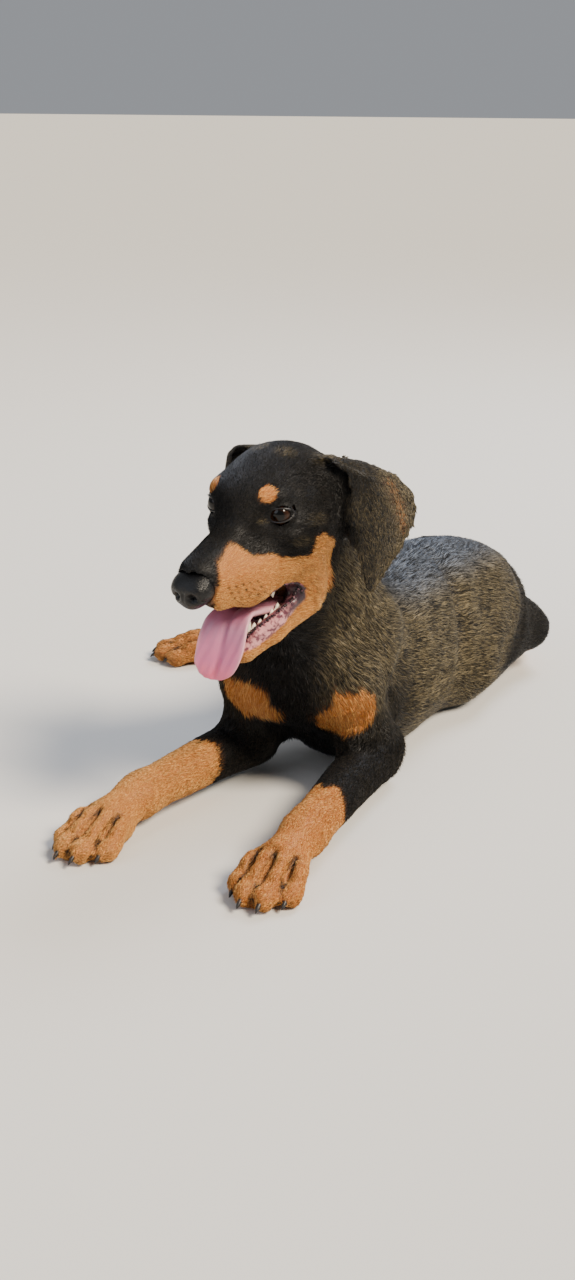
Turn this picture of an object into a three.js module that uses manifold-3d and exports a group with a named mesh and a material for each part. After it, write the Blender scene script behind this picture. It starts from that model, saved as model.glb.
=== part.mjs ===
// A young black and tan dog lying down with its head up, life size, in millimetres.
// +Z is up, the nose points towards -Y and the dog's left side is towards +X.
// The body is one soft form, a distance field of rounded limbs and balls that melt
// into each other. Each part is the stretch of that form inside its own blocks, so
// neighbouring parts meet face to face with a thin gap.
import * as THREE from 'three';
import { LoftGeometry } from 'three/addons/geometries/LoftGeometry.js';
import { mergeVertices } from 'three/addons/utils/BufferGeometryUtils.js';
import Module from 'manifold-3d';

const wasm = await Module();
wasm.setup();

// Driving dimensions of the lying dog.
const GAP = 0.3;
const BACK_HEIGHT = 160;
const TRUNK_LEVEL = 76;
const CHEST_WIDTH = 132;
const RUMP_AHEAD = -288;
const RUMP_REACH = 374;
const EYE_LEVEL = 260.5;
const HEAD_SIDE = 11;
const HEAD_AHEAD = 111;
const HEAD_TURN = THREE.MathUtils.degToRad(-5);
const MUZZLE_LENGTH = 76;
const EYE_SPACING = 54;
const EYEBALL_RADIUS = 10;
const JAW_AHEAD = 12;
const JAW_DROP = 104;
const PAW_WIDTH = 58;
const BIG = 600;

// Places are given as side (left is positive), ahead (towards the nose) and up.
const at = (side, ahead, up) => new THREE.Vector3(side, -ahead, up);

const body = new THREE.Object3D();
const head = new THREE.Object3D();
head.position.copy(at(HEAD_SIDE, HEAD_AHEAD, EYE_LEVEL));
head.rotation.z = HEAD_TURN;
head.updateMatrixWorld();
body.updateMatrixWorld();

// A rounded limb between two points, with its own radius at each end.
function limb(frame, a, b, ra, rb, blend = 14) {
  const from = a.clone().applyMatrix4(frame.matrixWorld);
  const to = b.clone().applyMatrix4(frame.matrixWorld);
  const axis = to.clone().sub(from);
  const length2 = axis.lengthSq();
  const slope = ra - rb;
  const flat2 = length2 - slope * slope;
  const middle = from.clone().add(to).multiplyScalar(0.5);
  const reach = Math.sqrt(length2) / 2 + Math.max(ra, rb);
  const distance = (x, y, z) => {
    const px = x - from.x;
    const py = y - from.y;
    const pz = z - from.z;
    const along = px * axis.x + py * axis.y + pz * axis.z;
    const beyond = along - length2;
    const rx = px * length2 - axis.x * along;
    const ry = py * length2 - axis.y * along;
    const rz = pz * length2 - axis.z * along;
    const off2 = rx * rx + ry * ry + rz * rz;
    const side = Math.sign(slope) * slope * slope * off2;
    if (Math.sign(beyond) * flat2 * beyond * beyond * length2 > side) {
      return Math.sqrt(off2 + beyond * beyond * length2) / length2 - rb;
    }
    if (Math.sign(along) * flat2 * along * along * length2 < side) {
      return Math.sqrt(off2 + along * along * length2) / length2 - ra;
    }
    return (Math.sqrt(off2 * flat2 / length2) + along * slope) / length2 - ra;
  };
  return { distance, blend, middle, reach };
}

// A ball with three half sizes, turned by pitch, yaw and roll in degrees if need be.
function ball(frame, centre, half, blend = 14, turn = [0, 0, 0]) {
  const seat = new THREE.Object3D();
  seat.position.copy(centre);
  seat.rotation.set(...turn.map(THREE.MathUtils.degToRad));
  seat.updateMatrix();
  const world = new THREE.Matrix4().multiplyMatrices(frame.matrixWorld, seat.matrix);
  const middle = new THREE.Vector3().setFromMatrixPosition(world);
  const m = world.clone().invert().elements;
  const [hx, hy, hz] = half;
  const distance = (x, y, z) => {
    const px = m[0] * x + m[4] * y + m[8] * z + m[12];
    const py = m[1] * x + m[5] * y + m[9] * z + m[13];
    const pz = m[2] * x + m[6] * y + m[10] * z + m[14];
    const near = Math.hypot(px / hx, py / hy, pz / hz);
    const fade = Math.hypot(px / (hx * hx), py / (hy * hy), pz / (hz * hz));
    return fade < 1e-9 ? -Math.min(hx, hy, hz) : near * (near - 1) / fade;
  };
  return { distance, blend, middle, reach: Math.max(hx, hy, hz) };
}

// A hollow pressed into the forms that come before it.
const hollow = (form, blend = 4) => ({ ...form, blend, pressed: true });

// The field of a list of forms: negative inside, zero on the surface.
function clay(forms) {
  return (x, y, z) => {
    let d = 1e9;
    for (const form of forms) {
      const { middle, reach, blend } = form;
      const away = Math.hypot(x - middle.x, y - middle.y, z - middle.z) - reach;
      if (away > blend && (form.pressed || away > d + blend)) continue;
      const own = form.distance(x, y, z);
      if (form.pressed) {
        const h = Math.max(blend - Math.abs(d + own), 0) / blend;
        d = Math.max(d, -own) + h * h * blend / 4;
      } else {
        const h = Math.max(blend - Math.abs(d - own), 0) / blend;
        d = Math.min(d, own) - h * h * blend / 4;
      }
    }
    return d;
  };
}

// Left and right twins of a form.
const pair = make => [1, -1].flatMap(side => make(side));

const trunk = [
  ball(body, at(0, -112, TRUNK_LEVEL), [CHEST_WIDTH / 2, 124, BACK_HEIGHT - TRUNK_LEVEL], 20),
  ball(body, at(0, 0, 104), [46, 66, 46], 24),
  ball(body, at(0, -208, TRUNK_LEVEL), [65, 108, BACK_HEIGHT - TRUNK_LEVEL - 2], 24),
  ball(body, at(2, RUMP_AHEAD, 66), [62, RUMP_REACH + RUMP_AHEAD, 72], 24),
  limb(body, at(0, -60, 128), at(0, -20, 122), 34, 34, 24),
];

const neckForms = [
  limb(body, at(0, -22, 126), at(HEAD_SIDE, HEAD_AHEAD - 72, EYE_LEVEL - 26), 55, 42, 24),
  limb(body, at(0, 20, 112), at(HEAD_SIDE - 2, HEAD_AHEAD - 50, EYE_LEVEL - 66), 42, 26, 24),
];

const skull = [
  ball(head, at(0, -44, 2), [44, 48, 40], 14),
  ball(head, at(0, -12, 4), [31, 34, 25], 16),
  ball(head, at(0, -64, -20), [41, 36, 38], 16),
  ...pair(side => [
    ball(head, at(side * 30, -30, -20), [17, 30, 22], 14),
    ball(head, at(side * 37, -60, 12), [13, 14, 16], 8),
    limb(head, at(side * 20, -1, 11), at(side * 29, -22, 12), 9, 9, 8),
  ]),
];

const muzzle = [
  limb(head, at(0, -4, -16), at(0, MUZZLE_LENGTH - 20, -36), 20, 15.5, 12),
  ...pair(side => [
    limb(head, at(side * 17, -4, -36), at(side * 8, MUZZLE_LENGTH - 26, -42), 17, 13, 8),
    limb(head, at(side * 25, -12, -45), at(side * 18, 20, -54), 9, 10, 8),
    limb(head, at(side * 18, 20, -54), at(side * 9, MUZZLE_LENGTH - 24, -54), 10, 9, 8),
    limb(head, at(side * 24, -30, -42), at(side * 23, -42, -64), 18, 17, 12),
  ]),
];

const lowerJaw = [
  ...pair(side => [
    limb(head, at(side * 22, -40, -76), at(side * 15, -8, -92), 14, 9.5, 10),
    limb(head, at(side * 15, -8, -92), at(side * 7, JAW_AHEAD, -JAW_DROP), 9.5, 9, 8),
    limb(head, at(side * 29, -26, -66), at(side * 25, -4, -80), 5, 5, 6),
    limb(head, at(side * 25, -4, -80), at(side * 13, 12, -91), 5, 5, 6),
  ]),
  limb(head, at(0, -44, -82), at(0, JAW_AHEAD, -JAW_DROP), 17, 8, 10),
];

const mouthHollows = [
  hollow(limb(head, at(0, -26, -62), at(0, MUZZLE_LENGTH - 24, -63), 15, 8), 5),
  hollow(limb(head, at(0, -30, -66), at(0, JAW_AHEAD + 3, -JAW_DROP + 14), 15, 8), 5),
  ...pair(side => hollow(limb(head, at(side * 28, -15, -62), at(side * 22, 20, -72), 4.5, 8), 4)),
];

const noseForms = [
  ball(head, at(0, MUZZLE_LENGTH - 11, -42), [15, 10, 12.5], 6, [-8, 0, 0]),
  ball(head, at(0, MUZZLE_LENGTH - 13, -50), [7, 8, 7], 8),
  ...pair(side => [
    ball(head, at(side * 8, MUZZLE_LENGTH - 10, -46), [7.5, 9, 8], 6),
  ]),
];

// Each foreleg from shoulder to paw, with the paw's heading in degrees to the left.
const FORELEGS = {
  left: { side: 1, shoulder: at(38, 14, 96), elbow: at(52, -24, 27), wrist: at(73, 130, 25), heading: 4 },
  right: { side: -1, shoulder: at(-36, 18, 96), elbow: at(-52, 2, 29), wrist: at(-72, 135, 25), heading: -4 },
};

// Each hind leg. The hips lie on the left: the left leg is folded under the haunch
// and its foot points to the right, and the right leg reaches out to the right.
const HIND_LEGS = {
  left: { hip: at(18, -292, 72), knee: at(34, -222, 40), hock: at(51, -350, 44), foot: at(28, -384, 17), heading: -100, heel: 23 },
  right: { hip: at(-30, -290, 84), knee: at(-88, -208, 92), hock: at(-176, -246, 30), foot: at(-198, -230, 16), heading: -62, heel: 20 },
};

const TOES = [
  { side: -21, ahead: 70, radius: 9.5 },
  { side: -7.5, ahead: 83, radius: 10.5 },
  { side: 7.5, ahead: 83, radius: 10.5 },
  { side: 21, ahead: 70, radius: 9.5 },
];

// A paw's own frame: on the floor below the wrist, turned to its heading.
function pawFrame(wrist, heading) {
  const frame = new THREE.Object3D();
  frame.position.set(wrist.x, wrist.y, 0);
  frame.rotation.z = THREE.MathUtils.degToRad(heading);
  frame.updateMatrixWorld();
  return frame;
}

function pawForms(frame, height) {
  const spread = PAW_WIDTH / 58;
  return [
    limb(frame, at(0, 0, height), at(0, 42, height - 4), 16, 16, 12),
    ball(frame, at(0, 46, 14), [23 * spread, 22, 15], 8),
    ...TOES.map(toe => limb(frame, at(toe.side * 0.62 * spread, 46, 19),
      at(toe.side * spread, toe.ahead, toe.radius - 1), 10, toe.radius, 3)),
  ];
}

function forelegForms({ side, shoulder, elbow, wrist, heading }) {
  const blade = at(side * 24, -46, 134);
  return [
    limb(body, blade, shoulder, 30, 30, 22),
    limb(body, shoulder, elbow, 29, 23, 16),
    limb(body, elbow, wrist, 23, 17, 12),
    ...pawForms(pawFrame(wrist, heading), 24),
  ];
}

function hindLegForms({ hip, knee, hock, foot, heading, heel }) {
  return [
    limb(body, hip, knee, 50, 33, 24),
    limb(body, knee, hock, 31, heel, 14),
    limb(body, hock, foot, heel - 1, 15, 10),
    ...pawForms(pawFrame(foot, heading), 16),
  ];
}

const TAIL = [
  { place: at(-6, -346, 96), radius: 16 },
  { place: at(-34, -386, 70), radius: 12.5 },
  { place: at(-70, -414, 38), radius: 10.5 },
  { place: at(-112, -424, 10), radius: 9 },
  { place: at(-156, -414, 7), radius: 7.5 },
  { place: at(-194, -384, 5.5), radius: 6 },
  { place: at(-214, -344, 4.5), radius: 5 },
];

const tailForms = TAIL.slice(1).map((joint, i) =>
  limb(body, TAIL[i].place, joint.place, TAIL[i].radius, joint.radius, 8));

const dogField = clay([
  ...trunk, ...neckForms,
  ...Object.values(FORELEGS).flatMap(forelegForms),
  ...Object.values(HIND_LEGS).flatMap(hindLegForms),
  ...tailForms, ...skull, ...muzzle, ...lowerJaw, ...mouthHollows,
]);
const noseField = clay(noseForms);

// A turned box: it keeps or removes a region, in the field and as a solid.
function block(frame, centre, size, turn = [0, 0, 0]) {
  const seat = new THREE.Object3D();
  seat.position.copy(centre);
  seat.rotation.set(...turn.map(THREE.MathUtils.degToRad));
  seat.updateMatrix();
  const world = new THREE.Matrix4().multiplyMatrices(frame.matrixWorld, seat.matrix);
  const m = world.clone().invert().elements;
  const half = size.map(s => s / 2);
  const distance = (x, y, z) => Math.max(
    Math.abs(m[0] * x + m[4] * y + m[8] * z + m[12]) - half[0],
    Math.abs(m[1] * x + m[5] * y + m[9] * z + m[13]) - half[1],
    Math.abs(m[2] * x + m[6] * y + m[10] * z + m[14]) - half[2],
  );
  const solid = grow => {
    const box = new THREE.BoxGeometry(...size.map(s => s + 2 * grow));
    return solidOf(box.applyMatrix4(world));
  };
  const bounds = () => {
    const box = new THREE.BoxGeometry(...size).applyMatrix4(world);
    return new THREE.Box3().setFromBufferAttribute(box.attributes.position);
  };
  return { distance, solid, bounds };
}

// A closed geometry made ready for cutting and joining.
function solidOf(geometry) {
  const bare = new THREE.BufferGeometry().copy(geometry);
  bare.deleteAttribute('normal');
  bare.deleteAttribute('uv');
  const merged = mergeVertices(bare, 1e-4);
  return new wasm.Manifold(new wasm.Mesh({
    numProp: 3,
    vertProperties: new Float32Array(merged.attributes.position.array),
    triVerts: new Uint32Array(merged.index.array),
  }));
}

// The largest closed surface of a solid, as a geometry. Corners that a cut has left
// within a hair of each other become one, and the slivers between them go.
const HAIR = 0.002;
function geometryOf(solid) {
  const pieces = solid.decompose();
  pieces.sort((a, b) => b.volume() - a.volume());
  const mesh = pieces[0].getMesh();
  const places = Float32Array.from(mesh.vertProperties, value => Math.round(value / HAIR) * HAIR);
  const raw = new THREE.BufferGeometry();
  raw.setAttribute('position', new THREE.BufferAttribute(places, 3));
  raw.setIndex(new THREE.BufferAttribute(new Uint32Array(mesh.triVerts), 1));
  const geometry = mergeVertices(raw, HAIR / 4);
  const corners = geometry.index.array;
  const kept = [];
  for (let i = 0; i < corners.length; i += 3) {
    const [a, b, c] = corners.slice(i, i + 3);
    if (a !== b && b !== c && c !== a) kept.push(a, b, c);
  }
  geometry.setIndex(kept);
  geometry.computeVertexNormals();
  return geometry;
}

// Grid lines from low to high, with three more outside each end.
function gridLines(low, high, step) {
  const count = Math.ceil((high - low) / step) + 7;
  return Array.from({ length: count }, (_, i) => low + (i - 3) * step);
}

// The surface of a field as a closed geometry: one point in each grid cell that the
// surface crosses, drawn onto the surface, and one four-sided face per crossed edge.
function surfaceOf(field, xs, ys, zs) {
  const [nx, ny, nz] = [xs.length, ys.length, zs.length];
  const index = (i, j, k) => i + nx * (j + ny * k);
  const values = new Float32Array(nx * ny * nz);
  for (let k = 0; k < nz; k++) {
    for (let j = 0; j < ny; j++) {
      for (let i = 0; i < nx; i++) values[index(i, j, k)] = field(xs[i], ys[j], zs[k]);
    }
  }
  const pointIn = new Int32Array(nx * ny * nz).fill(-1);
  const positions = [];
  const corners = [0, 1, 2, 3, 4, 5, 6, 7].map(c => [c & 1, (c >> 1) & 1, c >> 2]);
  for (let k = 0; k < nz - 1; k++) {
    for (let j = 0; j < ny - 1; j++) {
      for (let i = 0; i < nx - 1; i++) {
        let [sx, sy, sz, count] = [0, 0, 0, 0];
        for (let a = 0; a < 8; a++) {
          const [ai, aj, ak] = corners[a];
          const va = values[index(i + ai, j + aj, k + ak)];
          for (const bit of [1, 2, 4]) {
            if (a & bit) continue;
            const [bi, bj, bk] = corners[a | bit];
            const vb = values[index(i + bi, j + bj, k + bk)];
            if ((va < 0) === (vb < 0)) continue;
            const t = va / (va - vb);
            sx += xs[i + ai] + t * (xs[i + bi] - xs[i + ai]);
            sy += ys[j + aj] + t * (ys[j + bj] - ys[j + aj]);
            sz += zs[k + ak] + t * (zs[k + bk] - zs[k + ak]);
            count += 1;
          }
        }
        if (count === 0) continue;
        pointIn[index(i, j, k)] = positions.length / 3;
        const cell = Math.min(xs[i + 1] - xs[i], ys[j + 1] - ys[j], zs[k + 1] - zs[k]);
        positions.push(...drawn(field, sx / count, sy / count, sz / count, cell * 0.4));
      }
    }
  }
  const faces = [];
  const quad = (a, b, c, d, flip) => {
    const p = n => new THREE.Vector3(...positions.slice(3 * n, 3 * n + 3));
    const short = p(a).distanceToSquared(p(c)) <= p(b).distanceToSquared(p(d));
    const tris = short ? [a, b, c, a, c, d] : [a, b, d, b, c, d];
    if (flip) tris.reverse();
    faces.push(...tris);
  };
  for (let k = 1; k < nz - 1; k++) {
    for (let j = 1; j < ny - 1; j++) {
      for (let i = 1; i < nx - 1; i++) {
        const inside = values[index(i, j, k)] < 0;
        const cell = (di, dj, dk) => pointIn[index(i - di, j - dj, k - dk)];
        if (inside !== values[index(i + 1, j, k)] < 0) {
          quad(cell(0, 1, 1), cell(0, 0, 1), cell(0, 0, 0), cell(0, 1, 0), !inside);
        }
        if (inside !== values[index(i, j + 1, k)] < 0) {
          quad(cell(1, 0, 1), cell(1, 0, 0), cell(0, 0, 0), cell(0, 0, 1), !inside);
        }
        if (inside !== values[index(i, j, k + 1)] < 0) {
          quad(cell(1, 1, 0), cell(0, 1, 0), cell(0, 0, 0), cell(1, 0, 0), !inside);
        }
      }
    }
  }
  const geometry = new THREE.BufferGeometry();
  geometry.setAttribute('position', new THREE.Float32BufferAttribute(positions, 3));
  geometry.setIndex(faces);
  return geometry;
}

// A point drawn onto the zero of a field, no further than it may stray.
function drawn(field, x, y, z, stray) {
  const [x0, y0, z0] = [x, y, z];
  const h = 0.05;
  for (let round = 0; round < 3; round++) {
    const d = field(x, y, z);
    const gx = (field(x + h, y, z) - d) / h;
    const gy = (field(x, y + h, z) - d) / h;
    const gz = (field(x, y, z + h) - d) / h;
    const g2 = gx * gx + gy * gy + gz * gz;
    if (g2 < 0.05) break;
    x -= d * gx / g2;
    y -= d * gy / g2;
    z -= d * gz / g2;
  }
  const off = Math.hypot(x - x0, y - y0, z - z0);
  const keep = off > stray ? stray / off : 1;
  return [x0 + (x - x0) * keep, y0 + (y - y0) * keep, z0 + (z - z0) * keep];
}

// The part of the dog inside its own block and outside the blocks taken before it.
// The field runs a little past each cut, and the cut itself is then made exactly.
const ROOM = new THREE.Box3(new THREE.Vector3(-310, -270, -8), new THREE.Vector3(130, 480, 320));
function part({ keep, without = [], step, field = dogField }) {
  const past = 1.5 * step;
  const region = (x, y, z) => {
    let d = Math.max(field(x, y, z), keep.distance(x, y, z) - past);
    for (const other of without) d = Math.max(d, -other.distance(x, y, z) - past);
    return d;
  };
  const reach = keep.bounds().intersect(ROOM);
  const lines = ['x', 'y', 'z'].map(axis => gridLines(reach.min[axis], reach.max[axis], step));
  let solid = solidOf(surfaceOf(region, ...lines));
  solid = solid.intersect(keep.solid(-GAP / 2));
  for (const other of without) solid = solid.subtract(other.solid(GAP / 2));
  return solid.subtract(floorBlock.solid(0));
}

const floorBlock = block(body, at(0, 0, -BIG / 2), [4 * BIG, 4 * BIG, BIG]);

// The blocks that part the dog, each claimed before those that follow it.
const blocks = {
  jaw: block(head, at(0, 39.5, -115.4), [200, 140, 50], [22, 0, 0]),
  head: block(head, at(0, 33, 12), [220, 220, 240], [-24.8, 0, 0]),
  neck: block(body, at(0, 68, 242), [240, 260, 240], [31.5, 0, 0]),
};
for (const [name, { side, elbow, wrist, heading }] of Object.entries(FORELEGS)) {
  blocks[`foreleg_${name}_paw`] = block(pawFrame(wrist, heading), at(0, 62, 20), [130, 116, 90]);
  blocks[`foreleg_${name}_lower`] = block(body, at(side * 74, -elbow.y + 104, 12), [108, 200, 92]);
  blocks[`foreleg_${name}_upper`] = block(body, at(side * 92, -10, 62), [120, 170, 200], [0, side * -8, 0]);
}
const [leftFoot, rightFoot] = [HIND_LEGS.left, HIND_LEGS.right].map(leg => pawFrame(leg.foot, leg.heading));
Object.assign(blocks, {
  hindleg_right_paw: block(rightFoot, at(0, 62, 20), [120, 116, 90]),
  hindleg_right_lower: block(body, at(-210, -240, 30), [180, 190, 130]),
  hindleg_right_upper: block(body, at(-140, -255, 60), [190, 190, 220]),
  hindleg_left_paw: block(leftFoot, at(0, 62, 10), [76, 116, 50]),
  hindleg_left_lower: block(body, at(92, -388, 20), [140, 106, 86]),
  hindleg_left_upper: block(body, at(95, -275, 40), [130, 190, 140]),
  tail_tip: block(body, at(-230, -360, 0), [100, 140, 60]),
  tail_middle: block(body, at(-135, -430, 10), [110, 140, 90]),
  tail_root: block(body, at(-20, -470, 80), [160, 200, 160]),
  chest: block(body, at(0, 70, 100), [300, 240, 260]),
  barrel: block(body, at(0, -145, 100), [300, 190, 260]),
  rump: block(body, at(0, -340, 100), [300, 200, 260]),
});

// The cell size of each part's surface: the face and the paws are the finest.
const CELLS = {
  jaw: 6.5, head: 7.2, neck: 16, paw: 7.3, lower: 12.6, upper: 15, tip: 7, middle: 8, root: 11,
  chest: 15.4, barrel: 18, rump: 15.7,
};
const cellOf = name => CELLS[name] ?? CELLS[name.split('_').at(-1)];

// A field grown outwards by the gap, for cutting a neighbour clear of a part.
const grown = field => (x, y, z) => field(x, y, z) - GAP;

// A closed geometry placed in a frame, then made a solid.
function placed(geometry, frame, centre, turn = [0, 0, 0], scale = [1, 1, 1]) {
  const seat = new THREE.Object3D();
  seat.position.copy(centre);
  seat.rotation.set(...turn.map(THREE.MathUtils.degToRad));
  seat.scale.set(...scale);
  seat.updateMatrix();
  return solidOf(geometry.applyMatrix4(new THREE.Matrix4().multiplyMatrices(frame.matrixWorld, seat.matrix)));
}

const solids = {};
const claimed = [];
for (const [name, keep] of Object.entries(blocks)) {
  solids[name] = part({ keep, without: [...claimed], step: cellOf(name) });
  claimed.push(keep);
}

// The eyeballs, each in its socket behind an almond opening with two lids.
const eyeFrame = side => {
  const frame = new THREE.Object3D();
  frame.position.copy(at(side * EYE_SPACING / 2, -6, 0));
  frame.rotation.z = THREE.MathUtils.degToRad(side * 24);
  head.add(frame);
  frame.updateMatrixWorld(true);
  return frame;
};
const eyeBall = (frame, grow) => placed(new THREE.SphereGeometry(EYEBALL_RADIUS + grow, 12, 8), frame, at(0, 0, 0));

function openEye(skin, frame) {
  const opening = placed(new THREE.SphereGeometry(1, 12, 8), frame, at(0, 11, 0), [0, 0, 0], [8.6, 9, 5]);
  const lids = placed(new THREE.TorusGeometry(9.6, 2.1, 5, 14), frame, at(0, 6.4, 0), [90, 0, 0], [1, 0.66, 1]);
  return skin.subtract(opening).add(lids).subtract(eyeBall(frame, GAP));
}

for (const [name, side] of [['left', 1], ['right', -1]]) {
  const frame = eyeFrame(side);
  solids.head = openEye(solids.head, frame);
  solids[`eye_${name}`] = eyeBall(frame, 0);
}

// The nose leather sits on the end of the muzzle.
const NOSE_REGION = block(head, at(0, MUZZLE_LENGTH - 8, -44), [50, 50, 50]);
const NOSE_CELL = 5;
solids.nose = part({ keep: NOSE_REGION, step: NOSE_CELL, field: noseField });
solids.head = solids.head.subtract(part({ keep: NOSE_REGION, step: NOSE_CELL, field: grown(noseField) }));
for (const side of [1, -1]) {
  const nostril = new THREE.SphereGeometry(1, 8, 6);
  const slit = new THREE.SphereGeometry(1, 8, 5);
  solids.nose = solids.nose
    .subtract(placed(nostril, head, at(side * 6.5, MUZZLE_LENGTH - 1.5, -45), [0, 0, 0], [3.4, 6, 3.4]))
    .subtract(placed(slit, head, at(side * 12, MUZZLE_LENGTH - 5, -48), [0, side * 24, 0], [5.5, 6, 1.5]));
}

// Teeth stand in two arches. Each arch is half an ellipse: side to side by its half
// width, and from its rear to its front. The canines are the longest.
const TEETH = 12;
function withTeeth(jawSolid, { halfWidth, rear, front, level, pointing }) {
  let solid = jawSolid;
  for (let i = 0; i < TEETH; i++) {
    const angle = THREE.MathUtils.degToRad(-80 + 160 * i / (TEETH - 1));
    const along = Math.cos(angle);
    const canine = i === 4 || i === TEETH - 5;
    const length = canine ? 15 : 10.5;
    const place = at(halfWidth * Math.sin(angle), rear + (front - rear) * along, level(along));
    const cone = new THREE.ConeGeometry(canine ? 2.6 : 2.2, length, 5);
    solid = solid.add(placed(cone, head, place, [pointing * 90, 0, 0]));
  }
  return solid;
}
solids.head = withTeeth(solids.head, {
  halfWidth: 15, rear: -16, front: 52, level: () => -58, pointing: -1,
});
solids.jaw = withTeeth(solids.jaw, {
  halfWidth: 15, rear: -22, front: 15, level: along => -76 - 19 * along, pointing: 1,
});

// The tongue lies in the lower jaw, comes over the front teeth and hangs down.
const TONGUE = [
  { place: at(0, -32, -77), half: 10, thick: 5 },
  { place: at(0, -14, -78), half: 12, thick: 5 },
  { place: at(0, 4, -76), half: 13.5, thick: 4.5 },
  { place: at(0, 17, -75), half: 15.5, thick: 4 },
  { place: at(0, 26, -80), half: 17, thick: 3.6 },
  { place: at(-1, 31, -89), half: 17.5, thick: 3.3 },
  { place: at(-1, 33, -99), half: 17.5, thick: 3.1 },
  { place: at(-1, 33, -109), half: 16, thick: 2.9 },
  { place: at(-1, 32, -117), half: 12, thick: 2.5 },
  { place: at(-1, 31, -122), half: 6, thick: 1.8 },
];
const TONGUE_SIDES = 12;
function tongueSection({ place, half, thick }, i) {
  const before = TONGUE[Math.max(i - 1, 0)].place;
  const after = TONGUE[Math.min(i + 1, TONGUE.length - 1)].place;
  const forward = after.clone().sub(before).normalize();
  const turn = Math.min(i / 6, 1) * THREE.MathUtils.degToRad(14);
  const across = new THREE.Vector3(Math.cos(turn), Math.sin(turn), 0);
  const above = across.clone().cross(forward).normalize().negate();
  return Array.from({ length: TONGUE_SIDES }, (_, k) => {
    const angle = 2 * Math.PI * k / TONGUE_SIDES;
    const groove = Math.sin(angle) > 0 ? Math.exp(-((half * Math.cos(angle) / 5) ** 2)) : 0;
    const lift = thick * Math.sin(angle) - 1.3 * groove;
    return place.clone().addScaledVector(across, half * Math.cos(angle)).addScaledVector(above, lift);
  });
}
const tongueLoft = new LoftGeometry(TONGUE.map(tongueSection), { closed: true, capStart: true, capEnd: true });
solids.tongue = placed(tongueLoft, head, at(0, 0, 0));

// Each ear is a folded flap that hangs from the side of the skull. A row goes from its
// front edge to its rear edge and bulges outwards, which leaves the cup behind it.
const EAR_ROWS = [
  { front: at(25, -43, 35), rear: at(27, -70, 32), bulge: 3, thick: 8 },
  { front: at(42, -45, 33), rear: at(49, -83, 27), bulge: 5, thick: 6 },
  { front: at(50, -50, 25), rear: at(67, -98, 17), bulge: 8, thick: 4.5 },
  { front: at(54, -54, 7), rear: at(80, -109, 0), bulge: 9, thick: 4 },
  { front: at(56, -56, -15), rear: at(82, -106, -19), bulge: 9, thick: 3.6 },
  { front: at(57, -58, -36), rear: at(78, -93, -38), bulge: 8, thick: 3.4 },
  { front: at(59, -61, -55), rear: at(71, -80, -56), bulge: 5, thick: 3 },
  { front: at(62, -66, -69), rear: at(66, -73, -69), bulge: 2, thick: 2.4 },
];
const EAR_STEPS = 8;
function earSection({ front, rear, bulge, thick }) {
  const across = rear.clone().sub(front);
  const out = new THREE.Vector3(across.y, -across.x, 0).normalize();
  const edge = (t, sign) => {
    const fullness = Math.sqrt(Math.max(Math.sin(Math.PI * t), 0));
    const lift = 4 * t * (1 - t) * bulge + sign * fullness * thick / 2;
    return front.clone().addScaledVector(across, t).addScaledVector(out, lift);
  };
  const outer = Array.from({ length: EAR_STEPS + 1 }, (_, k) => edge(k / EAR_STEPS, 1));
  const inner = Array.from({ length: EAR_STEPS - 1 }, (_, k) => edge(1 - (k + 1) / EAR_STEPS, -1));
  return [...outer, ...inner].reverse();
}
const earLoft = new LoftGeometry(EAR_ROWS.map(earSection), { closed: true, capStart: true, capEnd: true });
solids.ear_left = placed(new THREE.BufferGeometry().copy(earLoft), head, at(0, 0, 0));
const mirrored = new THREE.BufferGeometry().copy(earLoft).scale(-1, 1, 1);
mirrored.setIndex(Array.from(mirrored.index.array).reverse());
solids.ear_right = placed(mirrored, head, at(0, 0, 0));

// Ears and tongue stop short of the skin that they grow from.
const headRoom = part({ keep: blocks.head, without: [blocks.jaw], step: cellOf('head'), field: grown(dogField) });
const jawRoom = part({ keep: blocks.jaw, step: cellOf('jaw'), field: grown(dogField) });
for (const name of ['ear_left', 'ear_right', 'tongue']) solids[name] = solids[name].subtract(headRoom);
solids.tongue = solids.tongue.subtract(jawRoom);

// A claw grows from the end of each toe and points ahead and down.
const PAWS = { ...Object.fromEntries(Object.entries(FORELEGS).map(([name, leg]) =>
  [`foreleg_${name}_paw`, pawFrame(leg.wrist, leg.heading)])),
hindleg_left_paw: leftFoot, hindleg_right_paw: rightFoot };
for (const [name, frame] of Object.entries(PAWS)) {
  for (const toe of TOES) {
    const place = at(toe.side, toe.ahead + toe.radius, toe.radius - 2.5);
    const claw = new THREE.ConeGeometry(3, 12, 6);
    solids[name] = solids[name].add(placed(claw, frame, place, [-154, 0, 0]));
  }
  solids[name] = solids[name].subtract(floorBlock.solid(0));
}

// Colours of the coat: black above, tan on the face, legs and paws.
const BLACK = { color: 0x1c1b1d, roughness: 0.55 };
const TAN = { color: 0xb5773a, roughness: 0.7 };
const DARK = { color: 0x0d0c0d, roughness: 0.3 };
const PINK = { color: 0xd9798f, roughness: 0.35 };
const finishes = { eye: DARK, nose: DARK, tongue: PINK, jaw: TAN, paw: TAN };
const finishOf = name => Object.entries(finishes).find(([word]) => name.includes(word))?.[1] ?? BLACK;

const dog = new THREE.Group();
for (const [name, solid] of Object.entries(solids)) {
  const mesh = new THREE.Mesh(
    geometryOf(solid),
    new THREE.MeshStandardMaterial({ ...finishOf(name), metalness: 0 }),
  );
  mesh.name = name;
  dog.add(mesh);
}

// The origin is on the floor, below the middle of the dog's bounding box.
const middle = new THREE.Box3().setFromObject(dog).getCenter(new THREE.Vector3());
dog.position.set(-middle.x, -middle.y, 0);
export default dog;
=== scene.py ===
# A young black and tan doberman pinscher lying down with its head up, mouth open and
# tongue out: a still, life-size model. Everything is in metres in the frame of the
# solids: +Z is up, the nose points towards -Y and the dog's left side is towards +X.
import math

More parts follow.
